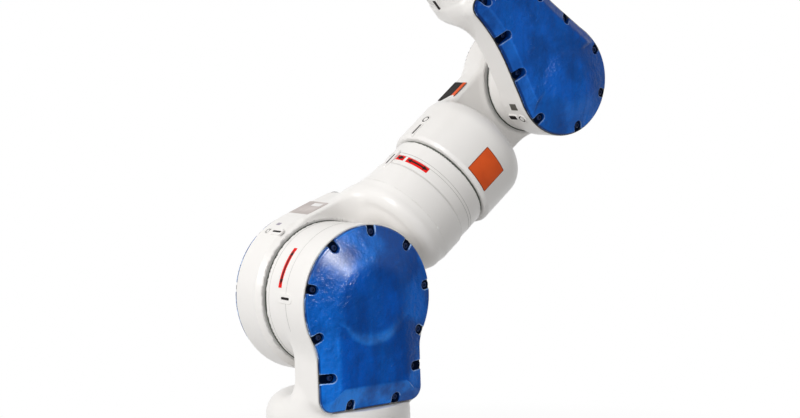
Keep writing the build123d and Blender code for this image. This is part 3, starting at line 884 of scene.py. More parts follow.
# %% Skin all the castings
CASTING_STEP = 2.8
castings = {
    "base": (base_field, (-146, -146, 0), (146, 146, 160)),
    "turret": (turret_field, (-113, -108, -248), (113, 108, 113)),
    "lower_arm": (lower_arm_field, (-120, -85, -120), (120, 86, 250)),
    "elbow": (elbow_field, (-90, -90, -238), (90, 90, 90)),
    "upper_arm": (folding_upper_arm_field, (-88, -70, -88), (88, 68, 233)),
    "wrist": (wrist_field, (-67, -67, -185), (67, 67, 64)),
    "hand": (hand_field, (-66, -54, -66), (66, 54, 149)),
}
for name, (field, low, high) in castings.items():
    piece = skin(name + "_shell", field, low, high, CASTING_STEP, arms[name], white_paint, name)
    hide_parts(name + "_casting")

# %% [markdown]
# ## The blue covers
# A cover is one moulding: a short upright rim, a long bevel up to a flat crown along the neck, and a low cone
# up to a round disc over the gearbox. Open notches around the rim give room for its screws. Height is
# a function of how far a point lies inside the outline, which is what the keyhole field already tells us.
# The gloss card shines on the covers alone, because the paint beside them is not as smooth.
# A table holds what differs between the covers: the bevel, the inset from the casting's edge, how soft the
# ridges and the disc are, and the notches, by angle on the round, by reach and depth on the neck's sides, and
# by half their spacing at the tip.

# %% Cover sizes
GASKET = 1.5
COVER_RIM = 3
COVER_EDGE = 3.4
COVER_CROWN = 12
CROWN_SOFTER = 0.6
COVER_DOME = 16
COVER_DISC = 0.43
COVER_SLOPE = 0.93
NOTCH_RADIUS = 6.5
NOTCH_FLOOR = 0.6
NOTCH_DEPTH = 18
NOTCH_EDGE = 1.4
NOTCH_OPENING = -20
Cover = namedtuple("Cover", "bevel inset ridge_softness disc_softness round_notches side_notches tip_notch")
covers = {
    "turret": Cover(32, 1.5, 1.6, 3.2, (-116, -75, -35, 4, 43, 83, 121), ((104, 25),), 40),
    "lower_arm": Cover(32, 1.5, 1.6, 3.2, (-90, -45, 0, 45, 90), ((80, 25),), 36),
    "elbow": Cover(22, 3.6, 1.6, 3.2, (-120, -80, -40, 0, 40, 80, 120), ((98, 25),), 24),
    "upper_arm": Cover(17, 1.5, 1.4, 6.5, (-83, -22, 32, 85), ((70, 19), (131, 24)), 36),
    "wrist": Cover(15, 1.5, 3, 6, (-110, -55, 0, 55, 110), (), 20),
    "hand": Cover(15, 1.5, 3, 6, (-85, -28, 28, 85), ((58, 25),), 18),
}
print("covers:", list(covers))


# %% Cover fields
def notch_places(name):
    """Edge point, inward direction and depth of each screw notch, in the plane of a cover."""
    key, cover = keyholes[name], covers[name]
    mirror = -np.sign(seats[name])
    found = []
    for angle in np.radians(cover.round_notches):
        outward = np.array((math.sin(angle) * mirror, -key.toward * math.cos(angle)))
        found.append((outward * key.radius, -outward, NOTCH_DEPTH))
    for side in (-1, 1):
        for reach, depth in cover.side_notches:
            edge = np.array((side * float(key.half_width(float(reach))), key.toward * reach))
            found.append((edge, np.array((-side, 0.0)), depth))
        tip = np.array((side * cover.tip_notch, key.toward * key.tip))
        found.append((tip, np.array((0.0, -key.toward)), NOTCH_DEPTH))
    return found


def cover_field_of(name):
    """Field of one cover."""
    key, cover, seat = keyholes[name], covers[name], seats[name]
    inset, soft = cover.inset, cover.ridge_softness
    cone = (1 - COVER_DISC) * key.radius - inset
    notches = notch_places(name)

    def field(u, v, w):
        lift = np.sign(seat) * (v - seat) - GASKET
        edge = key.field(u, w, -inset)
        inside_neck = -inset - key.neck(u, w)
        inside_round = key.radius - inset - np.hypot(u, w)
        crown = joined(inside_neck * COVER_CROWN / cover.bevel, COVER_CROWN, soft + CROWN_SOFTER)
        dome = joined(inside_round * COVER_DOME / cone, COVER_DOME, cover.disc_softness)
        top = lift - COVER_RIM + joined(-np.maximum(crown, 0), -np.maximum(dome, 0), soft)
        whole = np.maximum(within(top * COVER_SLOPE, edge, COVER_EDGE), -lift)
        for (edge_u, edge_w), (inward_u, inward_w), depth in notches:
            ahead = (u - edge_u) * inward_u + (w - edge_w) * inward_w
            ahead = np.clip(ahead, NOTCH_OPENING, depth - NOTCH_RADIUS)
            gap = np.hypot(u - edge_u - ahead * inward_u, w - edge_w - ahead * inward_w) - NOTCH_RADIUS
            whole = without(whole, np.maximum(gap, NOTCH_FLOOR - lift), NOTCH_EDGE)
        return whole

    return field


# %% Skin all the covers
COVER_STEP = 1.7
COVER_SPAN = (0.5, 22)
glossy_pieces = bpy.data.collections.new("glossy_pieces")
gloss_card.light_linking.receiver_collection = glossy_pieces
for name, seat in seats.items():
    key = keyholes[name]
    ends = sorted((-key.toward * key.radius, key.toward * key.tip))
    outer = sorted(seat + np.sign(seat) * lift for lift in COVER_SPAN)
    low = (-key.radius - 1, outer[0], ends[0] - 1)
    high = (key.radius + 1, outer[1], ends[1] + 1)
    finish = cover_finish.get(name, blue_low)
    piece = skin(name + "_lid", cover_field_of(name), low, high, COVER_STEP, arms[name], finish, name)
    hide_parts(name + "_cover")
    glossy_pieces.objects.link(piece)

# %% [markdown]
# ## Finishes of the small parts
# Rubber, blackened screws, plated steel, black plastic and printed film differ mostly in tone, shine and
# grain. One helper makes them all: the tone and the roughness drift slowly between two values, dust settles
# on what faces up, and a fine bump breaks the highlight.

# %% Small finishes
DUST_COLOR = (0.55, 0.53, 0.48)
SMALL_RELIEF = 0.0004


def varied_finish(name, color, shade, roughness, grain_scale, relief, film=0.12, **plain):
    """A finish whose tone and roughness drift between two values over a fine grain, under a film of dust."""
    finish, tree, shader = start_finish(name, color, roughness, **plain)
    grain = use_group(tree, grain_group, scale=grain_scale, drift_scale=24.0)
    dust_and_shade = use_group(tree, dust_and_shade_group, film=film, hollow=0.3)
    drift = ramp_between(tree, grain["Drift"], 0.35, 0.7)
    lay_colors(tree, shader, color, (drift, shade), (dust_and_shade["Film"], DUST_COLOR))
    low, high = roughness * 0.8, min(roughness * 1.25, 1.0)
    wire(tree, ramp_between(tree, grain["Drift"], 0.3, 0.75, low, high), shader.inputs["Roughness"])
    raise_bump(tree, shader, grain["Height"], relief, SMALL_RELIEF)
    return finish


gasket_rubber = varied_finish("gasket_rubber", (0.012, 0.013, 0.014), (0.03, 0.03, 0.03), 0.62, 600.0, 0.2)
seal_rubber = varied_finish("seal_rubber", (0.05, 0.058, 0.05), (0.085, 0.095, 0.08), 0.55, 500.0, 0.15)
# The screws are near black with a navy tint, a painted reflection of the blue cover around them.
black_steel = varied_finish(
    "blackened_steel", (0.001, 0.012, 0.06), (0.003, 0.022, 0.1), 0.25, 900.0, 0.08,
    film=0.04, specular_ior_level=0.2,
)
black_oxide = varied_finish("black_oxide", (0.018, 0.018, 0.02), (0.032, 0.031, 0.031), 0.38, 800.0, 0.1)
# Near black with a navy tint and almost no shine: painted shade for the floors of the notches, with a painted
# blue reflection.
notch_shade_black = varied_finish(
    "notch_floor_painted_shade", (0.0, 0.003, 0.014), (0.0, 0.006, 0.028), 0.7, 700.0, 0.1,
    film=0.04, specular_ior_level=0.02,
)
plated_steel = varied_finish(
    "plated_steel", (0.55, 0.54, 0.52), (0.42, 0.41, 0.39), 0.32, 800.0, 0.08, metallic=1.0
)
black_plastic = varied_finish("black_plastic", (0.02, 0.021, 0.023), (0.035, 0.036, 0.038), 0.5, 700.0, 0.25)
grey_sheet = varied_finish(
    "grey_sheet_metal", (0.42, 0.42, 0.41), (0.36, 0.36, 0.35), 0.4, 500.0, 0.1, metallic=0.6
)
brass = varied_finish("plated_brass", (0.62, 0.55, 0.40), (0.5, 0.45, 0.34), 0.3, 700.0, 0.08, metallic=1.0)
print("materials so far:", len(bpy.data.materials))

# %% Film finishes
red_film = varied_finish(
    "red_film", (0.86, 0.011, 0.009), (0.74, 0.008, 0.007), 0.45, 500.0, 0.05,
    film=0.01, specular_ior_level=0.08,
)
dark_print_and_shade = varied_finish(
    "dark_print_and_shade", (0.008, 0.006, 0.006), (0.016, 0.011, 0.01), 0.5, 500.0, 0.05,
    film=0.02, specular_ior_level=0.1,
)
orange_film = varied_finish(
    "orange_film", (0.83, 0.115, 0.022), (0.7, 0.09, 0.02), 0.45, 400.0, 0.06,
    film=0.02, specular_ior_level=0.1,
)
orange_border = varied_finish(
    "orange_border", (0.30, 0.05, 0.015), (0.25, 0.045, 0.015), 0.5, 400.0, 0.06,
    film=0.02, specular_ior_level=0.1,
)
plate_print = varied_finish("plate_print", (0.42, 0.36, 0.34), (0.62, 0.565, 0.545), 0.45, 260.0, 0.08)
white_film = varied_finish("white_film", (0.86, 0.85, 0.84), (0.8, 0.79, 0.78), 0.4, 400.0, 0.05)
violet_film = varied_finish("grey_violet_film", (0.30, 0.27, 0.34), (0.42, 0.38, 0.45), 0.5, 300.0, 0.05)
grey_print = varied_finish("grey_print", (0.08, 0.075, 0.062), (0.2, 0.19, 0.17), 0.5, 300.0, 0.05, 0.03)
print("materials with films:", len(bpy.data.materials))

# %% [markdown]
# ## Turned metal
# The tool flange is turned on a lathe, which leaves fine rings around its axis. The rings come from the
# distance to that axis in the flange's own coordinates, so they ride with it. The flange, the seals and all
# gaskets but one keep their CAD shapes and only get new finishes.

# %% Machined flange
ALUMINIUM = (0.60, 0.60, 0.59)
LATHE_RINGS = 5200.0
machined, tree, shader = start_finish("machined_aluminium", ALUMINIUM, 0.3, metallic=1.0)
place = tree.nodes.new("ShaderNodeTexCoord")
centred = tree.nodes.new("ShaderNodeVectorMath")
centred.operation = "SUBTRACT"
centred.inputs[1].default_value = (0, 0, float(WRIST[2]) / 1000)
wire(tree, place.outputs["Object"], centred.inputs[0])
parts = tree.nodes.new("ShaderNodeSeparateXYZ")
wire(tree, centred.outputs[0], parts.inputs[0])
across = calc(tree, "MULTIPLY", parts.outputs["Y"], parts.outputs["Y"])
upward = calc(tree, "MULTIPLY", parts.outputs["Z"], parts.outputs["Z"])
radius = calc(tree, "SQRT", calc(tree, "ADD", across, upward))
rings = calc(tree, "SINE", calc(tree, "MULTIPLY", radius, LATHE_RINGS))
grain = use_group(tree, grain_group, scale=900.0, drift_scale=40.0)
drift = ramp_between(tree, grain["Drift"], 0.35, 0.7)
lay_colors(tree, shader, ALUMINIUM, (drift, (0.47, 0.47, 0.46)))
wire(tree, ramp_between(tree, grain["Drift"], 0.3, 0.75, 0.22, 0.4), shader.inputs["Roughness"])
raise_bump(tree, shader, rings, 0.06, 0.0002)

# %% Finishes for the CAD pieces that stay
node_finishes = {"gasket": gasket_rubber, "seal": seal_rubber, "flange": machined}
for name, thing in nodes.items():
    finish = node_finishes.get(name.split("_")[-1])
    if finish:
        thing.data.materials.clear()
        thing.data.materials.append(finish)
        print(name, "is", finish.name)

# %% [markdown]
# ## Small hardware from lofted rings
# A screw head, a washer, a pad or a film is a stack of closed outlines, each at its own height. Lofting them
# gives real chamfers and sockets for few faces. The outlines are drawn flat and then placed: standing on
# a point, or wrapped around a drum or a cup. Parts of one finish on one body are gathered in a tray and
# become one piece.

# %% Outlines
CORNER_POINTS = 5
PLATE_SIDE_PARTS = 12
POLYGON_SIDE_PARTS = 6


def once_around(count):
    """Evenly spaced angles of a whole turn."""
    return np.linspace(0, 2 * math.pi, count, endpoint=False)


def at_height(x, y, height):
    """An outline whose points are all at one height."""
    return np.column_stack([x, y, np.full(len(x), height)])


def ring(radius, height, count=24):
    """A round outline at a height."""
    angles = once_around(count)
    return at_height(radius * np.cos(angles), radius * np.sin(angles), height)


def hexagon(flats, height, count=24):
    """A hexagon with as many points as a ring, so that both can be lofted."""
    angles = once_around(count)
    radius = flats / 2 / np.cos((angles + math.pi / 6) % (math.pi / 3) - math.pi / 6)
    return at_height(radius * np.cos(angles), radius * np.sin(angles), height)


def plate(length, width, corner, height):
    """A rectangle with round corners: length runs in x, width in y."""
    corners = []
    for number, (sign_x, sign_y) in enumerate(((1, 1), (-1, 1), (-1, -1), (1, -1))):
        angles = np.radians(np.linspace(90 * number, 90 * number + 90, CORNER_POINTS))
        x = sign_x * (length / 2 - corner) + corner * np.cos(angles)
        y = sign_y * (width / 2 - corner) + corner * np.sin(angles)
        corners.append(np.column_stack([x, y]))
    share = np.linspace(0, 1, PLATE_SIDE_PARTS, endpoint=False)[1:, None]
    outline = []
    for here, there in zip(corners, corners[1:] + corners[:1]):
        outline += [here, here[-1] + share * (there[0] - here[-1])]
    return at_height(*np.concatenate(outline).T, height)


def polygon(points, height):
    """A straight-sided outline with extra points along its sides."""
    points = np.array(points, float)
    share = np.linspace(0, 1, POLYGON_SIDE_PARTS, endpoint=False)[:, None]
    flat = np.concatenate([a + share * (b - a) for a, b in zip(points, np.roll(points, -1, axis=0))])
    return at_height(*flat.T, height)


# %% Trays
SHARP_ANGLE = math.radians(32)


class Tray:
    """Gathers small lofted solids of one finish on one body into one piece."""

    def __init__(self, name, body, finish):
        self.name = name
        self.body = body
        self.finish = finish
        self.points = []
        self.faces = []
        self.count = 0

    def loft(self, rings, place, inner_rings=1):
        """A skin through the rings from the lowest to the last, which is filled in."""
        last = rings[-1]
        middle = last.mean(axis=0)
        shares = [1 - n / (inner_rings + 1) for n in range(1, inner_rings + 1)]
        rings = list(rings) + [middle + (last - middle) * share for share in shares]
        size = len(last)
        self.points.append(place(np.concatenate(rings + [middle[None]])))
        for level in range(len(rings) - 1):
            low = self.count + level * size
            for i in range(size):
                j = (i + 1) % size
                self.faces.append((low + i, low + j, low + size + j, low + size + i))
        top = self.count + (len(rings) - 1) * size
        self.faces += [(top + i, top + (i + 1) % size, top + size) for i in range(size)]
        self.count += size * len(rings) + 1

    def make(self, *replaced):
        """The finished piece."""
        mesh = bpy.data.meshes.new(self.name)
        mesh.from_pydata(arms[self.body].world(np.concatenate(self.points)).tolist(), [], self.faces)
        mesh.polygons.foreach_set("use_smooth", np.ones(len(self.faces), bool))
        mesh.set_sharp_from_angle(angle=SHARP_ANGLE)
        mesh.materials.append(self.finish)
        piece = add_object(self.name, mesh)
        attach(piece, self.body)
        if replaced:
            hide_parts(*replaced)
        print(self.name, "faces:", len(self.faces))


# %% Ways to place them
UPRIGHT = ((0, 0, 1), (1, 0, 0))
ACROSS = ((0, 1, 0), (1, 0, 0))


def stand(origin, normal, ahead):
    """On a point, with z along a normal and x ahead."""
    axes = np.array([ahead, np.cross(normal, ahead), normal], float)
    return lambda points: np.array(origin, float) + points @ axes


def on_drum(radius, angle, along):
    """Wrapped on a drum about the bending axis: x runs around from the angle, y along the axis."""

    def place(points):
        turn = math.radians(angle) + points[:, 0] / radius
        out = radius + points[:, 2]
        return np.column_stack([out * np.sin(turn), along + points[:, 1], out * np.cos(turn)])

    return place


def on_cup(radius, angle, along):
    """Wrapped on a cup about the arm's own axis: x runs along the arm, y around from the angle."""

    def place(points):
        turn = math.radians(angle) + points[:, 1] / radius
        out = radius + points[:, 2]
        return np.column_stack([out * np.cos(turn), -out * np.sin(turn), along + points[:, 0]])

    return place


# %% [markdown]
# ## The upper gasket
# Under each cover lies a rubber gasket. The upper arm's neck is waisted, so its gasket is lofted here from
# the outline of its own keyhole: seen from a point inside, every direction crosses the outline once, and
# halving the distance again and again finds the crossing.

# %% Upper gasket
GASKET_INSET = 0.7
GASKET_POINTS = 240
HALVINGS = 30
key = keyholes["upper_arm"]
middle = key.tip / 3
turns = once_around(GASKET_POINTS)
near, far = np.zeros(GASKET_POINTS), np.full(GASKET_POINTS, 2.0 * key.tip)
for _ in range(HALVINGS):
    reach = (near + far) / 2
    inside = key.field(reach * np.cos(turns), middle + reach * np.sin(turns), -GASKET_INSET) < 0
    near, far = np.where(inside, reach, near), np.where(inside, far, reach)
outline = at_height(near * np.cos(turns), middle + near * np.sin(turns), 0.0)
gasket = Tray("upper_arm_waisted_gasket", "upper_arm", gasket_rubber)
seat_place = stand((0, seats["upper_arm"], 0), (0, -1, 0), (1, 0, 0))
gasket.loft([outline, outline + np.array((0, 0, GASKET))], seat_place)
gasket.make("upper_arm_gasket")

# %% [markdown]
# ## Cover screws
# Every notch of a cover holds a blackened socket screw, tinted navy as a painted reflection of the cover, on
# a near-black plate that paints the shade deep in the notch. The screw stands at the inner end of its notch,
# so the same list of notches that cut the cover now places the screws.

# %% Cover screws
SCREW_HEAD = 4.3
SCREW_HEIGHT = 3.2
SCREW_SOCKET = 4
SCREW_CHAMFER = 0.7
SOCKET_FLOOR = 0.45
WELL_CORNER = 5.5
WELL_HEIGHTS = (-0.4, 0.3)
WELL_PLAY = 0.1


def socket_screw(tray, place, head, height, socket):
    """A socket head with a chamfer and a hexagon socket."""
    tray.loft(
        [
            ring(head, 0),
            ring(head, height - SCREW_CHAMFER),
            ring(head - SCREW_CHAMFER, height),
            hexagon(socket, height),
            hexagon(socket, height * SOCKET_FLOOR),
        ],
        place,
    )


for name, seat in seats.items():
    screws = Tray(name + "_cover_screws", name, black_steel)
    shade_plates = Tray(name + "_notch_shade_plates", name, notch_shade_black)
    outward = (0, np.sign(seat), 0)
    floor_height = seat + np.sign(seat) * (GASKET + NOTCH_FLOOR)
    start = covers[name].inset + 0.5
    width = 2 * NOTCH_RADIUS - WELL_PLAY
    for (edge_u, edge_w), (inward_u, inward_w), depth in notch_places(name):
        ahead = (inward_u, 0, inward_w)
        middle = (start + depth) / 2
        spot = (edge_u + inward_u * middle, floor_height, edge_w + inward_w * middle)
        length = depth - start - WELL_PLAY
        well = [plate(length, width, WELL_CORNER, height) for height in WELL_HEIGHTS]
        shade_plates.loft(well, stand(spot, outward, ahead))
        reach = depth - NOTCH_RADIUS
        spot = (edge_u + inward_u * reach, floor_height, edge_w + inward_w * reach)
        socket_screw(screws, stand(spot, outward, ahead), SCREW_HEAD, SCREW_HEIGHT, SCREW_SOCKET)
    screws.make()
    shade_plates.make()

# %% [markdown]
# ## Index pads, plugs and parting lines
# Next to the joints sit low pads with a slot, where a pin sets the joint's zero, and round plugs that close
# grease ports. Fine grey rings, painted shadow lines, show where the machined bands end. The pads are white
# like the castings, and a dark fill in each slot and a dark ring in each plug's groove paint their shade. At
# each bending joint a thin dark ring at the end of a drum paints the shadow line in the seam between two
# drums.

# %% Index pads and plugs
PAD_HEIGHT = 1.5
PAD_CHAMFER = 0.7
SLOT_DEPTH = 1.3
SLOT_FILL = 1.0


def index_pad(white, dark_shade, place, length, width, slot, slot_shift, slot_width=3.8):
    """A raised pad with a slot that runs along it, filled dark as painted shade."""
    groove = plate(slot, slot_width, 1.85, PAD_HEIGHT)
    groove[:, 0] += slot_shift
    corner = width / 2 - PAD_CHAMFER
    top = plate(length - 2 * PAD_CHAMFER, width - 2 * PAD_CHAMFER, corner - 0.6, PAD_HEIGHT)
    white.loft(
        [
            plate(length, width, corner, -PAD_HEIGHT),
            plate(length, width, corner, PAD_HEIGHT - PAD_CHAMFER),
            top,
            groove,
            groove - np.array((0, 0, SLOT_DEPTH)),
        ],
        place,
        3,
    )
    fill = plate(slot - 0.1, slot_width - 0.1, 1.8, 0.0)
    fill[:, 0] += slot_shift
    dark_shade.loft([fill, fill + np.array((0, 0, SLOT_FILL))], place, 3)


def plug(white, dark_shade, place, radius):
    """A round plug with a ring groove that a dark ring fills as painted shade."""
    steps = ((1, -0.5), (1, 0.7), (0.9, 1.1), (0.78, 1.1), (0.74, 0.2), (0.56, 0.2), (0.5, 0.9))
    white.loft([ring(radius * share, height) for share, height in steps], place)
    dark_shade.loft([ring(radius * 0.77, 0.0), ring(radius * 0.77, 0.7)], place)


def turned_place(place):
    """The same place with x and y exchanged, for parts that lie the other way."""
    return lambda points: place(np.column_stack([-points[:, 1], points[:, 0], points[:, 2]]))


marks = {
    "turret": [("pad", turned_place(on_drum(109.2, -85, -36)), 36, 15, 21, -1)],
    "lower_arm": [
        ("pad", turned_place(on_drum(118, -88.2, 43)), 30, 13, 22, -2),
        ("plug", on_drum(118, -88.5, 65), 6),
        ("pad", on_cup(82.6, 184, 207), 40, 12, 22, 0),
    ],
    "elbow": [
        ("pad", on_cup(88.5, 179, -222), 28, 7, 22, 0),
        ("plug", on_cup(88.5, 180, -199), 8),
    ],
    "upper_arm": [
        ("pad", turned_place(on_drum(86.8, -89.2, -31)), 22, 12, 17, 0, 8),
        ("plug", on_drum(86.8, -91, -50), 8),
        ("pad", on_cup(64.8, 177.4, 208), 38, 13, 23, 2, 7),
    ],
    "wrist": [("pad", on_cup(65.5, 180, -172), 18, 8, 12, 0), ("plug", on_cup(65.5, 180, -152), 4)],
    "hand": [("pad", on_cup(50.5, 180, 138), 14, 7, 9, 0)],
}
for body, items in marks.items():
    white = Tray(body + "_index_pads", body, white_paint)
    dark_shade = Tray(body + "_index_slots", body, dark_print_and_shade)
    for kind, place, *sizes in items:
        if kind == "pad":
            index_pad(white, dark_shade, place, *sizes)
        else:
            plug(white, dark_shade, place, *sizes)
    white.make()
    dark_shade.make()

# %% Parting lines, drawn as grey rings of painted shadow
BAND_POINTS = 160
LINE_WIDTH = 0.7
LINE_RISE = 0.18
lines = {
    "turret": [("drum", 109.27, -37), ("drum", 107.55, 10)],
    "lower_arm": [("cup", 81, 219), ("cup", 81, 224)],
    "upper_arm": [("cup", 64, 212), ("cup", 64, 217)],
    "hand": [("cup", 50.5, 139)],
}
line_finish = varied_finish("line_shadow", (0.42, 0.41, 0.39), (0.52, 0.51, 0.49), 0.6, 500.0, 0.05)


def band(tray, place, *steps):
    """A loft of wide rings, each with a radius and a height."""
    tray.loft([ring(radius, height, BAND_POINTS) for radius, height in steps], place)


for body, items in lines.items():
    tray = Tray(body + "_parting_shadow_lines", body, line_finish)
    for kind, radius, along in items:
        place = stand((0, along, 0), *ACROSS) if kind == "drum" else stand((0, 0, along), *UPRIGHT)
        low, high, half = radius - 1, radius + LINE_RISE, LINE_WIDTH / 2
        band(tray, place, (low, -half), (high, -half), (high, half), (low, half))
    tray.make()

# %% Seam shadow rings: thin dark rings at the drums' ends, in the seals' rubber finish, paint the shadow line in each seam
SHADOW_RING_HEIGHT = 1.3
SHADOW_RING_WIDTH = 1.2
drum_ends = {"turret": (107.2, 19.5), "upper_arm": (81, 13.5), "wrist": (58, 9.5)}
for body, (radius, along) in drum_ends.items():
    tray = Tray(body + "_seam_shadow_ring", body, seal_rubber)
    low, high = radius - 1, radius + SHADOW_RING_HEIGHT
    edge = high - 0.3
    place = stand((0, along - SHADOW_RING_WIDTH / 2, 0), *ACROSS)
    band(tray, place, (low, 0), (edge, 0), (high, SHADOW_RING_WIDTH / 2), (edge, SHADOW_RING_WIDTH), (low, SHADOW_RING_WIDTH))
    tray.make()

# %% [markdown]
# ## Films and plates
# Thin films lie on the castings: an orange square with a plain border, red strips with plain double arrows
# that show which way a joint turns, a bare rating plate, a black and orange block and two small squares.
# Each is a lofted outline a fraction of a millimetre thick, wrapped on its drum or laid on its wall, with the
# next layer just above it.

# %% Strips with arrows
FILM = 0.15
FILM_ROOT = -0.2
ARROW_WIDTH = 7.5


def film(tray, place, length, width, corner, layer=1):
    """A thin film; a higher layer lies on a lower one."""
    tray.loft([plate(length, width, corner, height) for height in (FILM_ROOT, FILM * layer)], place, 8)


def double_arrow(tray, place, length, width, layer):
    """A plain arrow with a head at both ends, along x."""
    head = width * 1.1
    film(tray, place, length - 2 * head + 0.4, width * 0.36, 0.1, layer)
    for side in (-1, 1):
        root = side * (length / 2 - head)
        tip = [(side * length / 2, 0), (root, side * width / 2), (root, -side * width / 2)]
        tray.loft([polygon(tip, FILM_ROOT), polygon(tip, FILM * layer)], place, 3)


drum_strip = (on_drum(108.62, -61, -19), 63, 9, 54)
short_strip = (turned_place(on_cup(81, 173, 214.5)), 17, 10, 15)
long_strip = (turned_place(on_cup(81, 149, 214.5)), 41, 10, 39)
strips = (
    ("turret_red_strip", "turret_strip_arrow", "turret", [drum_strip]),
    ("lower_arm_red_strips", "lower_arm_strip_arrows", "lower_arm", [short_strip, long_strip]),
)
for strip_name, arrow_name, body, items in strips:
    red = Tray(strip_name, body, red_film)
    arrow = Tray(arrow_name, body, dark_print_and_shade)
    for place, length, width, arrow_length in items:
        film(red, place, length, width, 0.5)
        double_arrow(arrow, place, arrow_length, ARROW_WIDTH, 2)
    red.make()
    arrow.make()

# %% Films and plates
WALL_RUN = (18.0, 54.8)
cup_place = on_cup(88.5, 91.5, -208)
wall = np.array((WALL_RUN[0], 0, WALL_RUN[1])) / math.hypot(*WALL_RUN)
wall_out = np.array((-wall[2], 0, wall[0]))
wall_spot = np.array((-109.0, 58.5, 45.2)) + wall * 31
field_spot = wall_spot + wall * 12 + np.array((0, -6, 0))
neck_wall = stand((-84.8, -45, 21), (-0.97, 0, 0.243), (0.243, 0, 0.97))
post_wall = ((-1, 0, 0), (0, 0, 1))
films = (
    ("elbow_film_border", "elbow", orange_border, cup_place, (48, 48, 1.5)),
    ("elbow_film", "elbow", orange_film, cup_place, (45.5, 45.5, 1, 2)),
    ("elbow_block_film", "elbow", dark_print_and_shade, stand((-70, 36, -114), *post_wall), (44, 30, 1)),
    ("elbow_block_stripe", "elbow", orange_film, stand((-70, 26, -114), *post_wall), (44, 8, 0.8, 2)),
    ("lower_arm_rating_plate", "lower_arm", plate_print, stand(wall_spot, wall_out, wall), (43, 49, 2, 3)),
    ("lower_arm_rating_field", "lower_arm", white_film, stand(field_spot, wall_out, wall), (9, 22, 0.8, 4)),
    ("lower_arm_square_film", "lower_arm", violet_film, on_drum(118, -79.5, 60), (6, 9, 0.6)),
    ("upper_arm_square_film", "upper_arm", grey_print, neck_wall, (11, 15, 0.6)),
)
for name, body, finish, place, sizes in films:
    tray = Tray(name, body, finish)
    film(tray, place, *sizes)
    tray.make()

# %% [markdown]
# ## The base: bolts and connectors
# The arm bolts down through four pads. At the back of the base, a panel carries a large power connector,
# a round signal connector with a threaded ring and two push-in air fittings. They are lofted like the screws.

# %% Base bolts
washers = Tray("base_washers", "base", plated_steel)
bolts = Tray("base_bolts", "base", black_oxide)
for x in (-BOLT_REACH, BOLT_REACH):
    for y in (-BOLT_REACH, BOLT_REACH):
        washer = [ring(12.5, 0), ring(12.5, 2.1), ring(12.1, 2.5), ring(6, 2.5)]
        washers.loft(washer, stand((x, y, PAD_TOP), *UPRIGHT))
        socket_screw(bolts, stand((x, y, PAD_TOP + 2.4), *UPRIGHT), 9, 12, 10)
washers.make()
bolts.make()

# %% Connector panel
PANEL_FACE = BOX_BACK - 4


def behind(y, z, face=PANEL_FACE):
    """A place on the back of the base, facing backwards."""
    return stand((face, y, z), (-1, 0, 0), (0, -1, 0))


sheet = Tray("connector_sheet", "base", grey_sheet)
sheet_steps = [plate(108, 90, 6, 0), plate(108, 90, 6, 3.3), plate(106.6, 88.6, 5.4, 4)]
sheet.loft(sheet_steps, behind(0, 77, BOX_BACK), 3)
sheet.make("connector_panel")
panel_screws = Tray("connector_sheet_screws", "base", plated_steel)
for y in (-48, 48):
    for z in (38, 77, 116):
        socket_screw(panel_screws, behind(y, z, PANEL_FACE + 0.1), 3.5, 3, 3)
panel_screws.make()

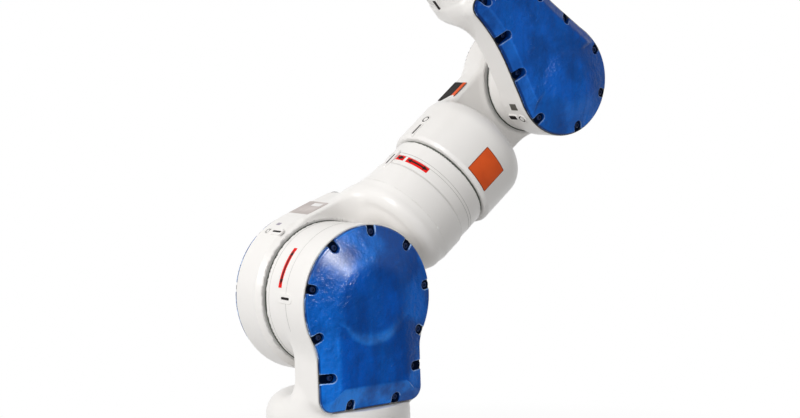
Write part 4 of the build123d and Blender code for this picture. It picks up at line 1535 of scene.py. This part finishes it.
# %% Power connector
POWER_HEIGHT = 53
hood = Tray("power_hood", "base", black_plastic)
hood_steps = (
    (70, 34, 4, 0),
    (70, 34, 4, 3),
    (68, 32, 3.5, 4),
    (60, 26, 4, 4),
    (60, 26, 4, 20),
    (57.5, 23.5, 3.5, 22.5),
    (52, 18, 3, 22.5),
    (52, 18, 3, 10),
)
hood.loft([plate(*step) for step in hood_steps], behind(0, POWER_HEIGHT), 3)
for side in (-1, 1):
    lever = stand((PANEL_FACE - 13, side * 31.4, POWER_HEIGHT), (0, side, 0), (-1, 0, 0))
    hood.loft([plate(7, 20, 3, -2), plate(7, 20, 3, 2.4), plate(5.6, 18.6, 2.4, 3.2)], lever)
hood.make("power_connector")
pins = Tray("power_pins", "base", plated_steel)
for y in range(-20, 21, 8):
    for z in (POWER_HEIGHT - 4, POWER_HEIGHT + 4):
        pins.loft([ring(1.6, 9.5, 12), ring(1.6, 18, 12), ring(0.9, 19, 12)], behind(y, z))
for y in (-32.2, 32.2):
    for z in (POWER_HEIGHT - 12, POWER_HEIGHT + 12):
        socket_screw(pins, behind(y, z, PANEL_FACE - 2.9), 2.2, 2.2, 2)
pins.make()

# %% Signal connector
UPPER_ROW = 101
SIGNAL_SIDE = 26
CONTACTS = 8
CONTACT_CIRCLE = 5.6
signal = Tray("signal_shell", "base", plated_steel)
shell = [(15, 0), (15, 3.4), (14.2, 4), (11.6, 4), (11.6, 6)]
for thread in range(5):
    shell += [(12.6, 6.9 + 2 * thread), (11.8, 7.9 + 2 * thread)]
shell += [(12.2, 17.5), (11.8, 21.6), (9.6, 21.6), (9.4, 12)]
signal.loft([ring(radius, height, 32) for radius, height in shell], behind(SIGNAL_SIDE, UPPER_ROW))
signal.make("signal_connector")
contacts = Tray("signal_contacts", "base", brass)
for angle in once_around(CONTACTS):
    y = SIGNAL_SIDE + CONTACT_CIRCLE * math.cos(angle)
    z = UPPER_ROW + CONTACT_CIRCLE * math.sin(angle)
    contacts.loft([ring(0.8, 11.5, 10), ring(0.8, 18, 10), ring(0.4, 18.8, 10)], behind(y, z))
contacts.make()

# %% Air fittings
air = Tray("air_bodies", "base", brass)
collars = Tray("air_collars", "base", black_plastic)
for y in (-13, -39):
    nut = [hexagon(12.8, 0), hexagon(12.8, 7), hexagon(11.6, 8), ring(5.2, 8), ring(5.2, 12.6), ring(4.8, 13)]
    air.loft(nut, behind(y, UPPER_ROW))
    ends = ((4.6, 12.8), (4.6, 14.6), (5.8, 15), (5.8, 17), (5.3, 17.6), (3, 17.6), (2.9, 13.2))
    collars.loft([ring(radius, height) for radius, height in ends], behind(y, UPPER_ROW))
air.make("air_fittings")
collars.make()

# %% [markdown]
# ## The end
# The last cell only prints that the dressing is done. The dressed arm has to stay inside
# the CAD box.

# %% Done
print("dressing done")
